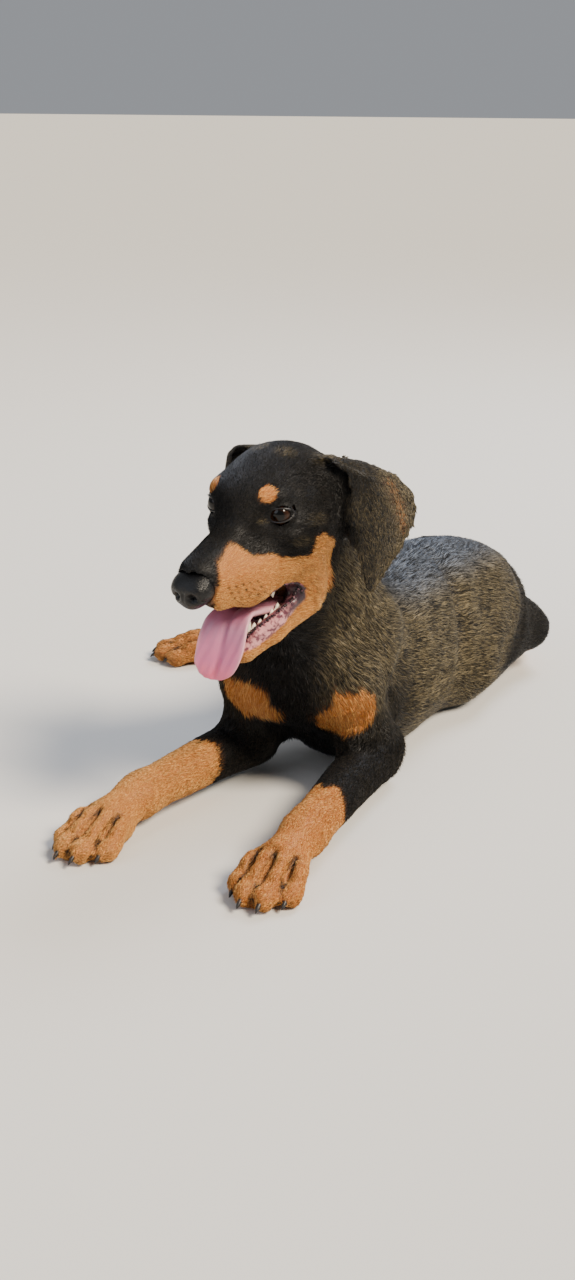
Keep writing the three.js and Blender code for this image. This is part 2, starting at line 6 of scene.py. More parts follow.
import bmesh
import bpy
import numpy as np
from mathutils import Matrix, Vector
from mathutils.bvhtree import BVHTree


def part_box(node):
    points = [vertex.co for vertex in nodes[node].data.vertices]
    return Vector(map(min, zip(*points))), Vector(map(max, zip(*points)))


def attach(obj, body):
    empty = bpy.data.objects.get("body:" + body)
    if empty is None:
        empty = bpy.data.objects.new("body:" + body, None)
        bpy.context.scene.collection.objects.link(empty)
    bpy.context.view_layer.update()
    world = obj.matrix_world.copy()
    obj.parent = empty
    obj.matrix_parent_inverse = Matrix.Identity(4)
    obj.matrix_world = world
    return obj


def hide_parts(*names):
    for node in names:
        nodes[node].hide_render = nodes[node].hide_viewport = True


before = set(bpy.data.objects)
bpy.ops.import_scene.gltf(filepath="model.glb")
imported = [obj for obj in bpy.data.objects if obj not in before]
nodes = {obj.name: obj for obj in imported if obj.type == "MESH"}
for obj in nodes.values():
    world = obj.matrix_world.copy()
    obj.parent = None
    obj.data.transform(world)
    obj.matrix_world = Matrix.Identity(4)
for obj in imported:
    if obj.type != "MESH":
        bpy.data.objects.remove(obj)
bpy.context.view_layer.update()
scene = bpy.context.scene

# The camera stands ahead of the dog's left shoulder, above its head, and looks down. Its
# place, as others on the body, is in millimetres to the dog's left, ahead and up from the
# floor below the chest, which is found from the eyeballs of the solids.
MM = 0.001
EYES_ON_BODY = np.array([11.523, -105.023, 260.5])


def middle_of(name):
    low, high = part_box(name)
    return (np.array(low) + np.array(high)) / 2


EYE_CENTRES = {1: middle_of("eye_left"), -1: middle_of("eye_right")}
EYES_MIDDLE = (EYE_CENTRES[1] + EYE_CENTRES[-1]) / 2
HOME = EYES_MIDDLE - EYES_ON_BODY * MM
CAMERA_PLACE = (604.1, 1078.4, 550.0)
CAMERA_AZIMUTH = math.radians(30)
CAMERA_DIP = math.radians(19)
LENS_MM = 45
SENSOR_MM = 36
SEEN_FROM = 0.05
SEEN_TO = 100


def on_body(side, ahead, up):
    return HOME + np.array([side, -ahead, up]) * MM


camera = bpy.data.objects.new("camera", bpy.data.cameras.new("camera"))
scene.collection.objects.link(camera)
camera.location = on_body(*CAMERA_PLACE)
looking = Vector((
    -math.sin(CAMERA_AZIMUTH) * math.cos(CAMERA_DIP),
    math.cos(CAMERA_AZIMUTH) * math.cos(CAMERA_DIP),
    -math.sin(CAMERA_DIP),
))
camera.rotation_euler = looking.to_track_quat("-Z", "Y").to_euler()
camera.data.lens = LENS_MM
camera.data.sensor_width = SENSOR_MM
camera.data.sensor_fit = "AUTO"
camera.data.clip_start = SEEN_FROM
camera.data.clip_end = SEEN_TO
scene.camera = camera


# The floor is a studio's own: wide matt paper, pale all over, laid flat with no pattern
# and no edge in view.
def linear(hex_colour):
    channels = [int(hex_colour[i:i + 2], 16) / 255 for i in (1, 3, 5)]
    return tuple(c / 12.92 if c <= 0.04045 else ((c + 0.055) / 1.055) ** 2.4 for c in channels) + (1.0,)


def new_material(name):
    material = bpy.data.materials.new(name)
    material.use_nodes = True
    material.node_tree.nodes.clear()
    return material


# Adds a node: settings are its own, and each input is a value or another node's socket.
def node(material, kind, inputs=None, **settings):
    made = material.node_tree.nodes.new(kind)
    for name, value in settings.items():
        setattr(made, name, value)
    for key, value in (inputs or {}).items():
        if isinstance(value, bpy.types.NodeSocket):
            material.node_tree.links.new(value, made.inputs[key])
        else:
            made.inputs[key].default_value = value
    return made


def finish_material(material, shader):
    output = node(material, "ShaderNodeOutputMaterial")
    material.node_tree.links.new(shader.outputs["BSDF"], output.inputs["Surface"])


FLOOR_SIZE = 60
bpy.ops.object.select_all(action="DESELECT")
bpy.ops.mesh.primitive_plane_add(size=FLOOR_SIZE)
floor = bpy.context.object
floor.name = "floor"
paper = new_material("matt_paper_floor")
finish_material(paper, node(paper, "ShaderNodeBsdfPrincipled", {
    "Base Color": linear("#d9d7d2"), "Roughness": 0.9, "Specular IOR Level": 0.2,
}))
floor.data.materials.append(paper)

# Soft studio light: a broad warm key from the dog's left that lights the whole floor
# evenly, a weak fill from ahead on its right, a cooler light from behind along the
# back, and an even pale surround.
KEY = {"azimuth": 80, "height": 44, "away": 3, "strength": 6.6, "softness": 20, "colour": "#fff0da"}
LIGHTS = {
    "fill": {"azimuth": -25, "height": 30, "away": 2.8, "size": 2.0, "watts": 20, "colour": "#eef3ff"},
    "rim": {"azimuth": 168, "height": 50, "away": 2.6, "size": 1.2, "watts": 50, "colour": "#e6eeff"},
}
SURROUND = 0.42
LIT_PLACE = Vector(on_body(0, -60, 130))


def place_lamp(lamp, light):
    lamp.color = linear(light["colour"])[:3]
    holder = bpy.data.objects.new(lamp.name, lamp)
    scene.collection.objects.link(holder)
    azimuth, height = math.radians(light["azimuth"]), math.radians(light["height"])
    direction = Vector((
        math.sin(azimuth) * math.cos(height), -math.cos(azimuth) * math.cos(height), math.sin(height),
    ))
    holder.location = LIT_PLACE + direction * light["away"]
    holder.rotation_euler = (-direction).to_track_quat("-Z", "Y").to_euler()


key = bpy.data.lights.new("key", "SUN")
key.energy = KEY["strength"]
key.angle = math.radians(KEY["softness"])
place_lamp(key, KEY)
for name, light in LIGHTS.items():
    lamp = bpy.data.lights.new(name, "AREA")
    lamp.shape = "DISK"
    lamp.size = light["size"]
    lamp.energy = light["watts"]
    place_lamp(lamp, light)
world = bpy.data.worlds.new("studio")
scene.world = world
world.use_nodes = True
surround = world.node_tree.nodes["Background"]
surround.inputs["Color"].default_value = linear("#dfe3ea")
surround.inputs["Strength"].default_value = SURROUND


# The skin is the dog's whole body under its coat, one closed surface with no seam. It
# starts from the solids of flesh, joined and remeshed finest round the face, and is
# smoothed, drawn in by the depth of the coat and then modelled like clay by strokes.
LEGS = [f"{leg}_{side}" for leg in ("foreleg", "hindleg") for side in ("left", "right")]
FLESH = ["head", "jaw", "neck", "chest", "barrel", "rump", "tail_root", "tail_middle", "tail_tip"]
FLESH += ["ear_left", "ear_right"]
FLESH += [f"{leg}_{part}" for leg in LEGS for part in ("upper", "lower", "paw")]
SKIN_CELL = 4.7 * MM
JOIN_GROWTH = 0.45 * MM
FINE_REACH = 125 * MM
FINE_SCALE = 2.5
SAME_PLACE = 0.001 * MM

# Places on the head are in millimetres along its own axes, to the left, ahead and up,
# from a point just ahead of the middle of the eyes.
EYE_SET_BACK = 6
ACROSS = EYE_CENTRES[1] - EYE_CENTRES[-1]
ACROSS /= np.linalg.norm(ACROSS)
AHEAD = np.array([ACROSS[1], -ACROSS[0], 0.0])
UP = np.array([0.0, 0.0, 1.0])
HEAD = EYES_MIDDLE + AHEAD * EYE_SET_BACK * MM


def on_head(side, ahead, up):
    return HEAD + (side * ACROSS + ahead * AHEAD + up * UP) * MM


def seen_from_body(points):
    return (points - HOME) * [1, -1, 1] / MM


def seen_from_head(points):
    offset = (points - HEAD) / MM
    return np.stack([offset @ ACROSS, offset @ AHEAD, offset @ UP], axis=1)


FACE = on_head(0, -18, -20)
# Flesh that joins the inside of each ear to the side of the skull: middles and half sizes.
EAR_ROOTS = [
    ((50, -66, -8), (9, 12, 24)), ((42, -63, 16), (9, 12, 12)),
    ((47, -74, 10), (9, 10, 16)), ((56, -62, -22), (6, 9, 13)),
]


def body_part(name):
    for word in ("paw", "lower", "upper", "ear", "tail"):
        if word in name:
            return word
    return name


# Moves points away from the face, so that it is drawn larger for finer faces, or back.
def face_enlarged(points, back=False):
    offset = points - FACE
    away = np.linalg.norm(offset, axis=1, keepdims=True)
    reach = FINE_REACH * FINE_SCALE
    extra = FINE_REACH * (FINE_SCALE - 1)
    if back:
        changed = np.where(away < reach, away / FINE_SCALE, away - extra)
    else:
        changed = np.where(away < FINE_REACH, away * FINE_SCALE, away + extra)
    return FACE + offset * (changed / np.maximum(away, 1e-9))


# One row of values for each of a mesh's points, edges, faces or corners.
def rows_of(items, name, width, kind=float):
    flat = np.empty(len(items) * width, dtype=kind)
    items.foreach_get(name, flat)
    return flat.reshape(-1, width)


def points_of(mesh):
    return rows_of(mesh.vertices, "co", 3)


def set_points(mesh, points):
    mesh.vertices.foreach_set("co", points.ravel())
    mesh.update()


def select_only(piece):
    bpy.ops.object.select_all(action="DESELECT")
    piece.select_set(True)
    bpy.context.view_layer.objects.active = piece


joined = bmesh.new()
flesh_faces = []
for name in FLESH:
    one = bmesh.new()
    one.from_mesh(nodes[name].data)
    bmesh.ops.remove_doubles(one, verts=one.verts, dist=SAME_PLACE)
    one.normal_update()
    for vert in one.verts:
        vert.co += vert.normal * JOIN_GROWTH
    held = bpy.data.meshes.new("held")
    one.to_mesh(held)
    one.free()
    flesh_faces += [name] * len(held.polygons)
    joined.from_mesh(held)
    bpy.data.meshes.remove(held)
for side in (1, -1):
    for place, half in EAR_ROOTS:
        size = Matrix.Diagonal([h * MM for h in half] + [1])
        seat = Matrix.Translation(on_head(side * place[0], *place[1:])) @ size
        bmesh.ops.create_icosphere(joined, subdivisions=3, radius=1, matrix=seat)
        flesh_faces += ["head"] * (len(joined.faces) - len(flesh_faces))
flesh_tree = BVHTree.FromBMesh(joined)
skin = bpy.data.objects.new("skin", bpy.data.meshes.new("skin"))
scene.collection.objects.link(skin)
joined.to_mesh(skin.data)
joined.free()
set_points(skin.data, face_enlarged(points_of(skin.data)))
select_only(skin)
remesh = skin.modifiers.new("remesh", "REMESH")
remesh.mode = "VOXEL"
remesh.voxel_size = SKIN_CELL
bpy.ops.object.modifier_apply(modifier=remesh.name)
co = face_enlarged(points_of(skin.data), back=True)
set_points(skin.data, co)


# The mean of each point's neighbours, for smoothing places or any other values.
def neighbour_mean(values, edges):
    count = len(values)
    degree = np.maximum(np.bincount(edges.ravel(), minlength=count), 1)
    total = np.zeros_like(values)
    for k in range(values.shape[1]):
        total[:, k] = np.bincount(edges[:, 0], values[edges[:, 1], k], count)
        total[:, k] += np.bincount(edges[:, 1], values[edges[:, 0], k], count)
    return total / degree[:, None]


def normals_of(mesh):
    return rows_of(mesh.vertex_normals, "vector", 3)


def nodes_near(points):
    return np.array([flesh_faces[flesh_tree.find_nearest(p)[2]] for p in points])


# The toes need smaller faces than the rest of the legs.
for items in (skin.data.vertices, skin.data.edges):
    items.foreach_set("select", np.zeros(len(items), dtype=bool))
centres = rows_of(skin.data.polygons, "center", 3)
skin.data.polygons.foreach_set("select", np.char.endswith(nodes_near(centres), "paw"))
scene.tool_settings.mesh_select_mode = (False, False, True)
bpy.ops.object.mode_set(mode="EDIT")
bpy.ops.mesh.subdivide(number_cuts=1)
bpy.ops.object.mode_set(mode="OBJECT")
co = points_of(skin.data)
node_at = nodes_near(co)
part_at = np.array([body_part(name) for name in node_at])
edges = rows_of(skin.data.edges, "vertices", 2, np.int64)

# How often each part is smoothed and how deep its coat is, in mm. Each round pulls the
# points together and then pushes them apart, so that no part shrinks.
SMOOTH_PULLS = (0.5, -0.52)
SMOOTH_ROUNDS = {"head": 10, "jaw": 12, "ear": 18, "paw": 14, "lower": 14, "tail": 26}
COAT_DEPTH = {"head": 1.0, "jaw": 0.8, "ear": 0.5, "paw": 0.8, "lower": 1.2, "tail": 1.2}
BODY_ROUNDS = 34
BODY_DEPTH = 1.8
DEPTH_ROUNDS = 12
rounds = np.array([SMOOTH_ROUNDS.get(part, BODY_ROUNDS) for part in part_at])
depth = np.array([[COAT_DEPTH.get(part, BODY_DEPTH)] for part in part_at])
for i in range(BODY_ROUNDS):
    for share in SMOOTH_PULLS:
        pull = np.where(rounds > i, share, 0)[:, None]
        co = co + pull * (neighbour_mean(co, edges) - co)
for _ in range(DEPTH_ROUNDS):
    depth = neighbour_mean(depth, edges)
set_points(skin.data, co)
co = co - normals_of(skin.data) * depth * MM

# Where two solids meet, the skin is evened out over a few points to either side, away
# from the face. So are the thin ears and tail.
MEETING_SPREAD = 7
MEETING_GAIN = 3
MEETING_ROUNDS = 26
THIN_ROUNDS = 5
BACK_OF_FACE = -62
meeting = np.zeros((len(co), 1))
meeting[edges[node_at[edges[:, 0]] != node_at[edges[:, 1]]].ravel()] = 1
meeting[seen_from_head(co)[:, 1] > BACK_OF_FACE] = 0
for _ in range(MEETING_SPREAD):
    meeting = np.maximum(meeting, neighbour_mean(meeting, edges))
meeting = np.clip(meeting * MEETING_GAIN, 0, 1)
thin = np.isin(part_at, ["ear", "tail"])[:, None]
for i in range(MEETING_ROUNDS):
    weight = np.where(thin, i < THIN_ROUNDS, meeting)
    co = co + SMOOTH_PULLS[0] * weight * (neighbour_mean(co, edges) - co)


# What leads from each point to the nearest place on the straight line from a to b.
def way_to_line(points, a, b):
    a, b = np.array(a, float), np.array(b, float)
    along = np.clip((points - a) @ (b - a) / ((b - a) @ (b - a)), 0, 1)
    return a + along[:, None] * (b - a) - points


def distance_to_line(points, line):
    ways = [way_to_line(points, a, b) for a, b in zip(line[:-1], line[1:])]
    return np.min([np.linalg.norm(way, axis=1) for way in ways], axis=0)


# A stroke raises the skin along a line, or presses it in where its height is negative.
def strokes(points, seen, strokes_made):
    set_points(skin.data, points)
    normals = normals_of(skin.data)
    places = seen(points)
    lift = np.zeros(len(points))
    for line, width, height in strokes_made:
        lift += height * np.exp(-(distance_to_line(places, line) / width) ** 2)
    return points + normals * lift[:, None] * MM


def mirrored(line):
    return [(-side, ahead, up) for side, ahead, up in line]


def both_sides(made):
    return made + [(mirrored(line), width, height) for line, width, height in made]


# Strokes on the face, each a line, its width and its height. On both sides they are the
# brow's ridge, the hollow before the eye, the cheekbone, the temple, the whisker pad, five
# folds at the corner of the mouth, the lip's hem, and the furrow and the bag under the
# eye. Along the middle they are the forehead's furrow, the stop and the bridge.
FACE_STROKES = both_sides([
    ([(17, 9, 9), (24, 7, 14), (33, -4, 14)], 6, 1.8),
    ([(22, 12, -6), (19, 24, -15)], 5, -1.3),
    ([(37, -18, -12), (43, -32, -14)], 9, 1.2),
    ([(34, -16, 18), (40, -36, 24)], 9, -1.2),
    ([(16, 40, -44), (24, 16, -48)], 9, 1.2),
    ([(35, -22, -50), (39, -29, -60), (38, -33, -74)], 2.4, -1.8),
    ([(38, -20, -46), (43, -30, -52), (43, -38, -64), (38, -42, -78)], 3.0, -1.5),
    ([(36, -24, -54), (39, -31, -67)], 2.4, 1.0),
    ([(42, -31, -52), (43, -36, -64), (38, -38, -78)], 3.2, 1.5),
    ([(45, -36, -46), (46, -44, -60), (42, -50, -76)], 4.0, 1.0),
    ([(14, 50, -60), (22, 26, -62), (30, 0, -54)], 2.4, 0.8),
    ([(26, 14, -6), (34, 2, -12), (40, -10, -10)], 3.0, -0.9),
    ([(24, 16, -11), (33, 4, -18), (41, -10, -16)], 3.2, 0.7),
]) + [
    ([(0, 6, 12), (0, -22, 34)], 5, -1.3),
    ([(0, 18, -4), (0, 10, 3)], 9, -1.4),
    ([(0, 54, -22), (0, 30, -11)], 7, -0.6),
]
# On the body they are the grooves behind the shoulders, the shoulder blades, the upper
# arm's muscle and the groove before it, the flank's hollows, the thigh, the knee, the
# groove behind the thigh, the seat, the breast's groove with a muscle at each side, and
# the furrow along the spine.
BODY_STROKES = [
    ([(10, -34, 166), (44, -72, 150), (66, -86, 120), (70, -80, 80), (70, -66, 50)], 12, -4.5),
    ([(-10, -34, 166), (-44, -72, 150), (-66, -86, 120), (-68, -76, 70)], 12, -4.0),
    ([(30, -46, 158), (54, -46, 132), (62, -24, 104)], 15, 3.6),
    ([(-30, -46, 158), (-54, -46, 132), (-62, -20, 104)], 15, 3.2),
    ([(62, -40, 78), (70, -30, 40)], 11, 2.2),
    ([(50, 8, 104), (60, -12, 78), (70, 0, 50)], 7, -2.0),
    ([(30, -196, 158), (54, -184, 124), (70, -172, 84), (76, -168, 46), (74, -176, 14)], 13, -8.0),
    ([(-30, -200, 158), (-60, -176, 124), (-70, -160, 90)], 12, -5.0),
    ([(40, -280, 140), (62, -252, 104), (74, -222, 62)], 22, 5.5),
    ([(74, -214, 34), (76, -262, 22)], 11, 4.0),
    ([(50, -322, 118), (62, -304, 86), (76, -284, 54), (80, -262, 38)], 8, -5.0),
    ([(54, -352, 66), (60, -350, 40)], 16, 3.0),
    ([(0, 66, 152), (0, 82, 116), (0, 70, 74)], 7, -3.0),
    ([(20, 74, 128), (36, 56, 92)], 12, 1.6),
    ([(-20, 74, 128), (-36, 56, 92)], 12, 1.6),
    ([(0, -90, 162), (0, -300, 150)], 5, -1.2),
]
co = strokes(co, seen_from_head, FACE_STROKES)
co = strokes(co, seen_from_body, BODY_STROKES)


# A paw's own places count from the floor below its wrist or hock, turned to where it
# points. Four toes arch up from between their folds, and each has a knuckle.
PAWS = {
    "foreleg_left": {"place": (73, 130), "heading": 4},
    "foreleg_right": {"place": (-72, 135), "heading": -4},
    "hindleg_left": {"place": (28, -384), "heading": -100},
    "hindleg_right": {"place": (-198, -230), "heading": -62},
}


def on_paw(paw, side, ahead, up):
    turn = math.radians(paw["heading"])
    s, a = paw["place"]
    return on_body(s + side * math.cos(turn) + ahead * math.sin(turn),
                   a - side * math.sin(turn) + ahead * math.cos(turn), up)


def seen_from_paw(paw, points):
    turn = math.radians(paw["heading"])
    body = seen_from_body(points)
    s, a = body[:, 0] - paw["place"][0], body[:, 1] - paw["place"][1]
    return np.stack([
        s * math.cos(turn) - a * math.sin(turn), s * math.sin(turn) + a * math.cos(turn), body[:, 2],
    ], axis=1)


# On a paw they are the folds between the toes, two rows of knuckles with a dip after
# each, the toes' ends, the hollow at the side and the wrist.
TOE_FOLDS = [
    [(14.5, 48, 26), (15, 62, 22), (15.3, 76, 13), (15.3, 84, 2)],
    [(0, 50, 29), (0, 66, 25), (0, 84, 14), (0, 94, 2)],
    [(-14.5, 48, 26), (-15, 62, 22), (-15.3, 76, 13), (-15.3, 84, 2)],
]
PAW_STROKES = [(line, 3.0, -7.0) for line in TOE_FOLDS] + both_sides([
    ([(7.5, 58, 28), (7.5, 68, 26)], 5.0, 3.0),
    ([(19, 52, 24), (20.5, 58, 22)], 4.6, 2.6),
    ([(7.5, 78, 21), (7.5, 81, 18)], 3.8, -2.2),
    ([(20.5, 66, 18), (20.5, 69, 15)], 3.6, -2.0),
    ([(7.5, 90, 12), (7.5, 92, 9)], 4.0, 1.4),
    ([(21, 78, 11), (21, 80, 8)], 4.0, 1.2),
    ([(21, 30, 22), (23, 42, 14)], 6.0, -1.4),
]) + [
    ([(-8, 18, 36), (8, 18, 36)], 8.0, 1.2),
]
on_paws = part_at == "paw"
for paw in PAWS.values():
    pressed = strokes(co, lambda points: seen_from_paw(paw, points), PAW_STROKES)
    co = np.where(on_paws[:, None], pressed, co)

# The lids lie close on the eyeballs and leave an almond opening, in which the skin
# passes behind the eyeball's front. Each eye looks outwards from straight ahead.
EYE_TURN = math.radians(24)
EYEBALL = 10.0
LID_THICKNESS = 1.3
OPENING_HALF = 9.7
OPENING_ABOVE = 5.3
OPENING_BELOW = 4.9
OPENING_TILT = math.radians(7)
OPENING_DEPTH = 2.2
LID_BLEND = 4.5
LID_PULL = 6
LID_REACH = 24


def eye_axes(side):
    out = math.cos(EYE_TURN) * AHEAD + math.sin(EYE_TURN) * side * ACROSS
    along = math.cos(EYE_TURN) * side * ACROSS - math.sin(EYE_TURN) * AHEAD
    tilted = math.cos(OPENING_TILT) * along + math.sin(OPENING_TILT) * UP
    above = math.cos(OPENING_TILT) * UP - math.sin(OPENING_TILT) * along
    return out, tilted, above


def soft_step(values, low, high):
    t = np.clip((values - low) / (high - low), 0, 1)
    return t * t * (3 - 2 * t)


for side, centre in EYE_CENTRES.items():
    out, along, above = eye_axes(side)
    offset = (co - centre) / MM
    away = np.linalg.norm(offset, axis=1)
    u, v, w = offset @ along, offset @ above, offset @ out
    opening = (u / OPENING_HALF) ** 2 + (v / np.where(v > 0, OPENING_ABOVE, OPENING_BELOW)) ** 2
    near = (w > 0) & (away < LID_REACH)
    ease = soft_step(opening, 1, 1 + LID_BLEND)
    lid = EYEBALL + LID_THICKNESS
    target = np.where(opening < 1, EYEBALL - OPENING_DEPTH, lid + (away - lid) * ease)
    target = np.where((opening >= 1) & (target < lid), np.minimum(lid, away + LID_PULL), target)
    co = np.where(near[:, None], centre + offset / away[:, None] * target[:, None] * MM, co)
set_points(skin.data, co)


# The coat's markings: tan patches on black, the same for the skin and for each tuft.
# A smooth ripple of a given size in mm makes their edges uneven.
RIPPLE_SEED = 11
RIPPLE_COUNT = 9
ripple_draw = np.random.default_rng(RIPPLE_SEED)
RIPPLE_WAVES = ripple_draw.normal(size=(RIPPLE_COUNT, 3))
RIPPLE_STARTS = ripple_draw.uniform(0, 2 * math.pi, RIPPLE_COUNT)


def ripple(places, size):
    waves = np.sin(places / size @ RIPPLE_WAVES.T * 2.2 + RIPPLE_STARTS)
    return waves.sum(axis=1) / 3


def blob(places, centre, half):
    return np.linalg.norm((places - np.array(centre)) / np.array(half), axis=1)


# The tan on the face lies between a black border above it and the black throat below,
# each given as pairs of ahead and up. The other patches are middles and half sizes.
BLACK_ABOVE = [
    (-66, -110), (-63, -54), (-52, -34), (-45, -24), (-29, -16), (-21, -19), (-19, -31), (-4, -31),
    (11, -29), (22, -29), (27, -23), (31, -18), (42, -20), (53, -26), (60, -35),
]
BLACK_BELOW = [(-66, -60), (-62, -70), (-44, -77), (-35, -86), (-28, -92), (-20, -120)]
CHEST_PATCHES = [((56, 34, 83), (25, 26, 19)), ((-22, 60, 87), (29, 26, 21))]
BROW_PATCH = ((24, 8, 15.5), (6.0, 7.0, 5.8))
EAR_STREAK = {"line": [(73, -80, 14), (80, -84, -4), (82, -88, -22)], "width": 6, "strength": 0.3}
TAN_AHEAD_TO = 59
TAN_BACK_TO = -67
BRIDGE_HALF = 8
MOUTH_UP = -62
FORELEG_TOP = 66
FORELEG_OUT = 34
FORELEG_TAN_FROM = {1: 88, -1: 68}
HIND_TAN_OUT = -150
HIND_FOOT_BACK = -330
HIND_FOOT_UP = 24
SPOT_SIZE = 1.5
# How much, and over what width in mm, the tan is darkened along the folds between the toes: partly dark
# hair and partly painted shade in the creases.
FOLD_SHADE_AND_DARK_HAIR = 0.8
FOLD_WIDTH = 3.6

# Whiskers stand in three rows on the upper lip, each from a small dark spot.
WHISKER_ROWS = [(29, 26, -44), (28, 23, -48.5), (27, 20, -53)]
WHISKER_STEP = (-1.6, 6.2)
WHISKERS = [
    (side + WHISKER_STEP[0] * k, ahead + WHISKER_STEP[1] * k, up)
    for side, ahead, up in WHISKER_ROWS for k in range(5)
]


def tan_share(points, parts):
    head, body = seen_from_head(points), seen_from_body(points)
    side, ahead, up = np.abs(head[:, 0]), head[:, 1], head[:, 2]
    on_face = np.isin(parts, ["head", "jaw", "neck"])
    wave = ripple(body, 9) * 2.5
    border = np.interp(ahead, *zip(*BLACK_ABOVE))
    throat = np.interp(ahead, *zip(*BLACK_BELOW))
    face = soft_step(border - up + wave * 0.6, -3.4, 3.0)
    face *= soft_step(up - throat + wave * 0.8, -4, 4)
    face *= soft_step(TAN_AHEAD_TO - ahead + wave * 0.5, -3, 3)
    face *= soft_step(side + np.maximum(MOUTH_UP - up, 0) * 3, BRIDGE_HALF, BRIDGE_HALF + 3)
    face *= soft_step(ahead + wave * 0.5, TAN_BACK_TO, TAN_BACK_TO + 5)
    one_side = np.stack([side, ahead, up], axis=1)
    brow = soft_step(1 - blob(one_side, *BROW_PATCH) + wave * 0.015, -0.25, 0.2)
    tone = np.where(on_face, np.maximum(face, brow), 0)
    for centre, half in CHEST_PATCHES:
        patch = soft_step(1 - blob(body, centre, half) + wave * 0.06, -0.3, 0.2)
        tone = np.maximum(tone, np.where(parts != "barrel", patch, 0))
    fore = (body[:, 1] > 0) & (body[:, 2] < FORELEG_TOP) & (np.abs(body[:, 0]) > FORELEG_OUT)
    start = np.where(body[:, 0] > 0, FORELEG_TAN_FROM[1], FORELEG_TAN_FROM[-1]) - (body[:, 2] - 30) * 0.25
    tone = np.maximum(tone, np.where(fore, soft_step(body[:, 1] - start + wave * 1.4, -8, 6), 0))
    right_hind = soft_step(HIND_TAN_OUT - body[:, 0] + wave - (body[:, 2] - 20) * 0.5, -6, 6)
    tone = np.maximum(tone, np.where((body[:, 1] < -120) & (parts != "tail"), right_hind, 0))
    left_hind = (body[:, 1] < HIND_FOOT_BACK) & (body[:, 0] > -70) & (parts != "tail")
    tone = np.maximum(tone, np.where(left_hind, soft_step(HIND_FOOT_UP - body[:, 2] + wave, -4, 4), 0))
    streak = np.exp(-(distance_to_line(one_side, EAR_STREAK["line"]) / EAR_STREAK["width"]) ** 2)
    tone = np.maximum(tone, (parts == "ear") * EAR_STREAK["strength"] * streak)
    for place in WHISKERS:
        away = np.linalg.norm((one_side - np.array(place))[:, 1:], axis=1)
        tone *= 1 - 0.5 * soft_step(SPOT_SIZE - away, 0, 0.8) * (parts == "head")
    # The folds between the toes are darkened: partly dark hair, partly painted shade.
    on_paws = parts == "paw"
    for paw in PAWS.values():
        places = seen_from_paw(paw, points[on_paws])
        for line in TOE_FOLDS:
            tone[on_paws] *= 1 - FOLD_SHADE_AND_DARK_HAIR * np.exp(-(distance_to_line(places, line) / FOLD_WIDTH) ** 2)
    return tone


# The mouth's lining is bare: the walls that face the hollow of either jaw, and outside
# it a band where the lower lip is rolled outwards, from its dark fringe to the hair.
MOUTH_LINES = [
    ([(0, -26, -62), (0, 52, -63)], 17),
    ([(0, -30, -66), (0, 15, -90)], 16),
    ([(30, -21, -61), (24, 16, -70)], 10.5),
    ([(-30, -21, -61), (-24, 16, -70)], 10.5),
]
LIP_FRINGE = [
    (32, -21, -60), (29, -9, -69), (25.5, 0, -75), (20, 8, -80), (14.5, 14, -86), (8, 19, -92),
    (0, 20, -94),
]
LIP_MARGIN = [
    (32, -25, -70), (30, -13, -80), (26, -4, -86), (21, 4, -95), (16, 12, -100), (8, 19, -103),
    (0, 21, -104),
]
LIP_BAND = 4.0
RIDGE_BAND = 6.0


def lip_share(points):
    head = seen_from_head(points)
    one_side = np.stack([np.abs(head[:, 0]), head[:, 1], head[:, 2]], axis=1)
    share = np.zeros(len(points))
    lines = list(zip(LIP_FRINGE, LIP_MARGIN))
    for (fringe_a, margin_a), (fringe_b, margin_b) in zip(lines[:-1], lines[1:]):
        for t in (0, 0.25, 0.5, 0.75):
            fringe = (1 - t) * np.array(fringe_a) + t * np.array(fringe_b)
            margin = (1 - t) * np.array(margin_a) + t * np.array(margin_b)
            away = distance_to_line(one_side, [fringe, margin - (margin - fringe) * 0.25])
            share = np.maximum(share, soft_step(LIP_BAND - away, -0.8, 0.8))
    ridge = distance_to_line(one_side, LIP_FRINGE)
    return np.maximum(share, soft_step(RIDGE_BAND - ridge, -0.8, 0.8) * (head[:, 2] < -60))


def mouth_share(points, normals):
    head = seen_from_head(points)
    facing = np.stack([normals @ ACROSS, normals @ AHEAD, normals @ UP], axis=1)
    share = np.zeros(len(points))
    for line, reach in MOUTH_LINES:
        towards = way_to_line(head, *line)
        away = np.linalg.norm(towards, axis=1)
        inwards = np.einsum("ij,ij->i", facing, towards) / np.maximum(away, 1e-6)
        share = np.maximum(share, soft_step(reach - away, 0, 2) * soft_step(inwards, 0, 0.3))
    fringe = np.array(LIP_FRINGE)[::-1]
    wall = np.interp(-head[:, 1], -fringe[:, 1], fringe[:, 0]) - 3
    inside = soft_step(wall - np.abs(head[:, 0]), 0, 2) * soft_step(head[:, 2] + 84, 0, 3)
    inside *= soft_step(-56 - head[:, 2], 0, 2) * soft_step(head[:, 1] + 34, 0, 3)
    return np.maximum(share, inside)


def add_values(mesh, name, values):
    layer = mesh.attributes.new(name, "FLOAT", "POINT")
    layer.data.foreach_set("value", np.ascontiguousarray(values, dtype=np.float32))


normals = normals_of(skin.data)
lips = lip_share(co)
mouth = np.maximum(mouth_share(co, normals), lips)
head_place = seen_from_head(co)
tone = tan_share(co, part_at)
# The lining is painted darker towards the throat and the back of the mouth, as painted
# shade deep in the mouth.
throat_shade = soft_step(-head_place[:, 1], -6, 16) * soft_step(head_place[:, 2], -84, -74) * 0.75
throat_shade = np.maximum(throat_shade, soft_step(-head_place[:, 1], 6, 22))
add_values(skin.data, "tone", tone)
add_values(skin.data, "mouth", mouth)
add_values(skin.data, "throat_shade", throat_shade)
select_only(skin)
bpy.ops.object.mode_set(mode="EDIT")
bpy.ops.mesh.select_all(action="SELECT")
bpy.ops.mesh.normals_make_consistent(inside=False)
bpy.ops.uv.smart_project(angle_limit=math.radians(75), island_margin=0.002)
bpy.ops.object.mode_set(mode="OBJECT")
skin.data.uv_layers[0].name = "OFBake"
skin.data.shade_smooth()


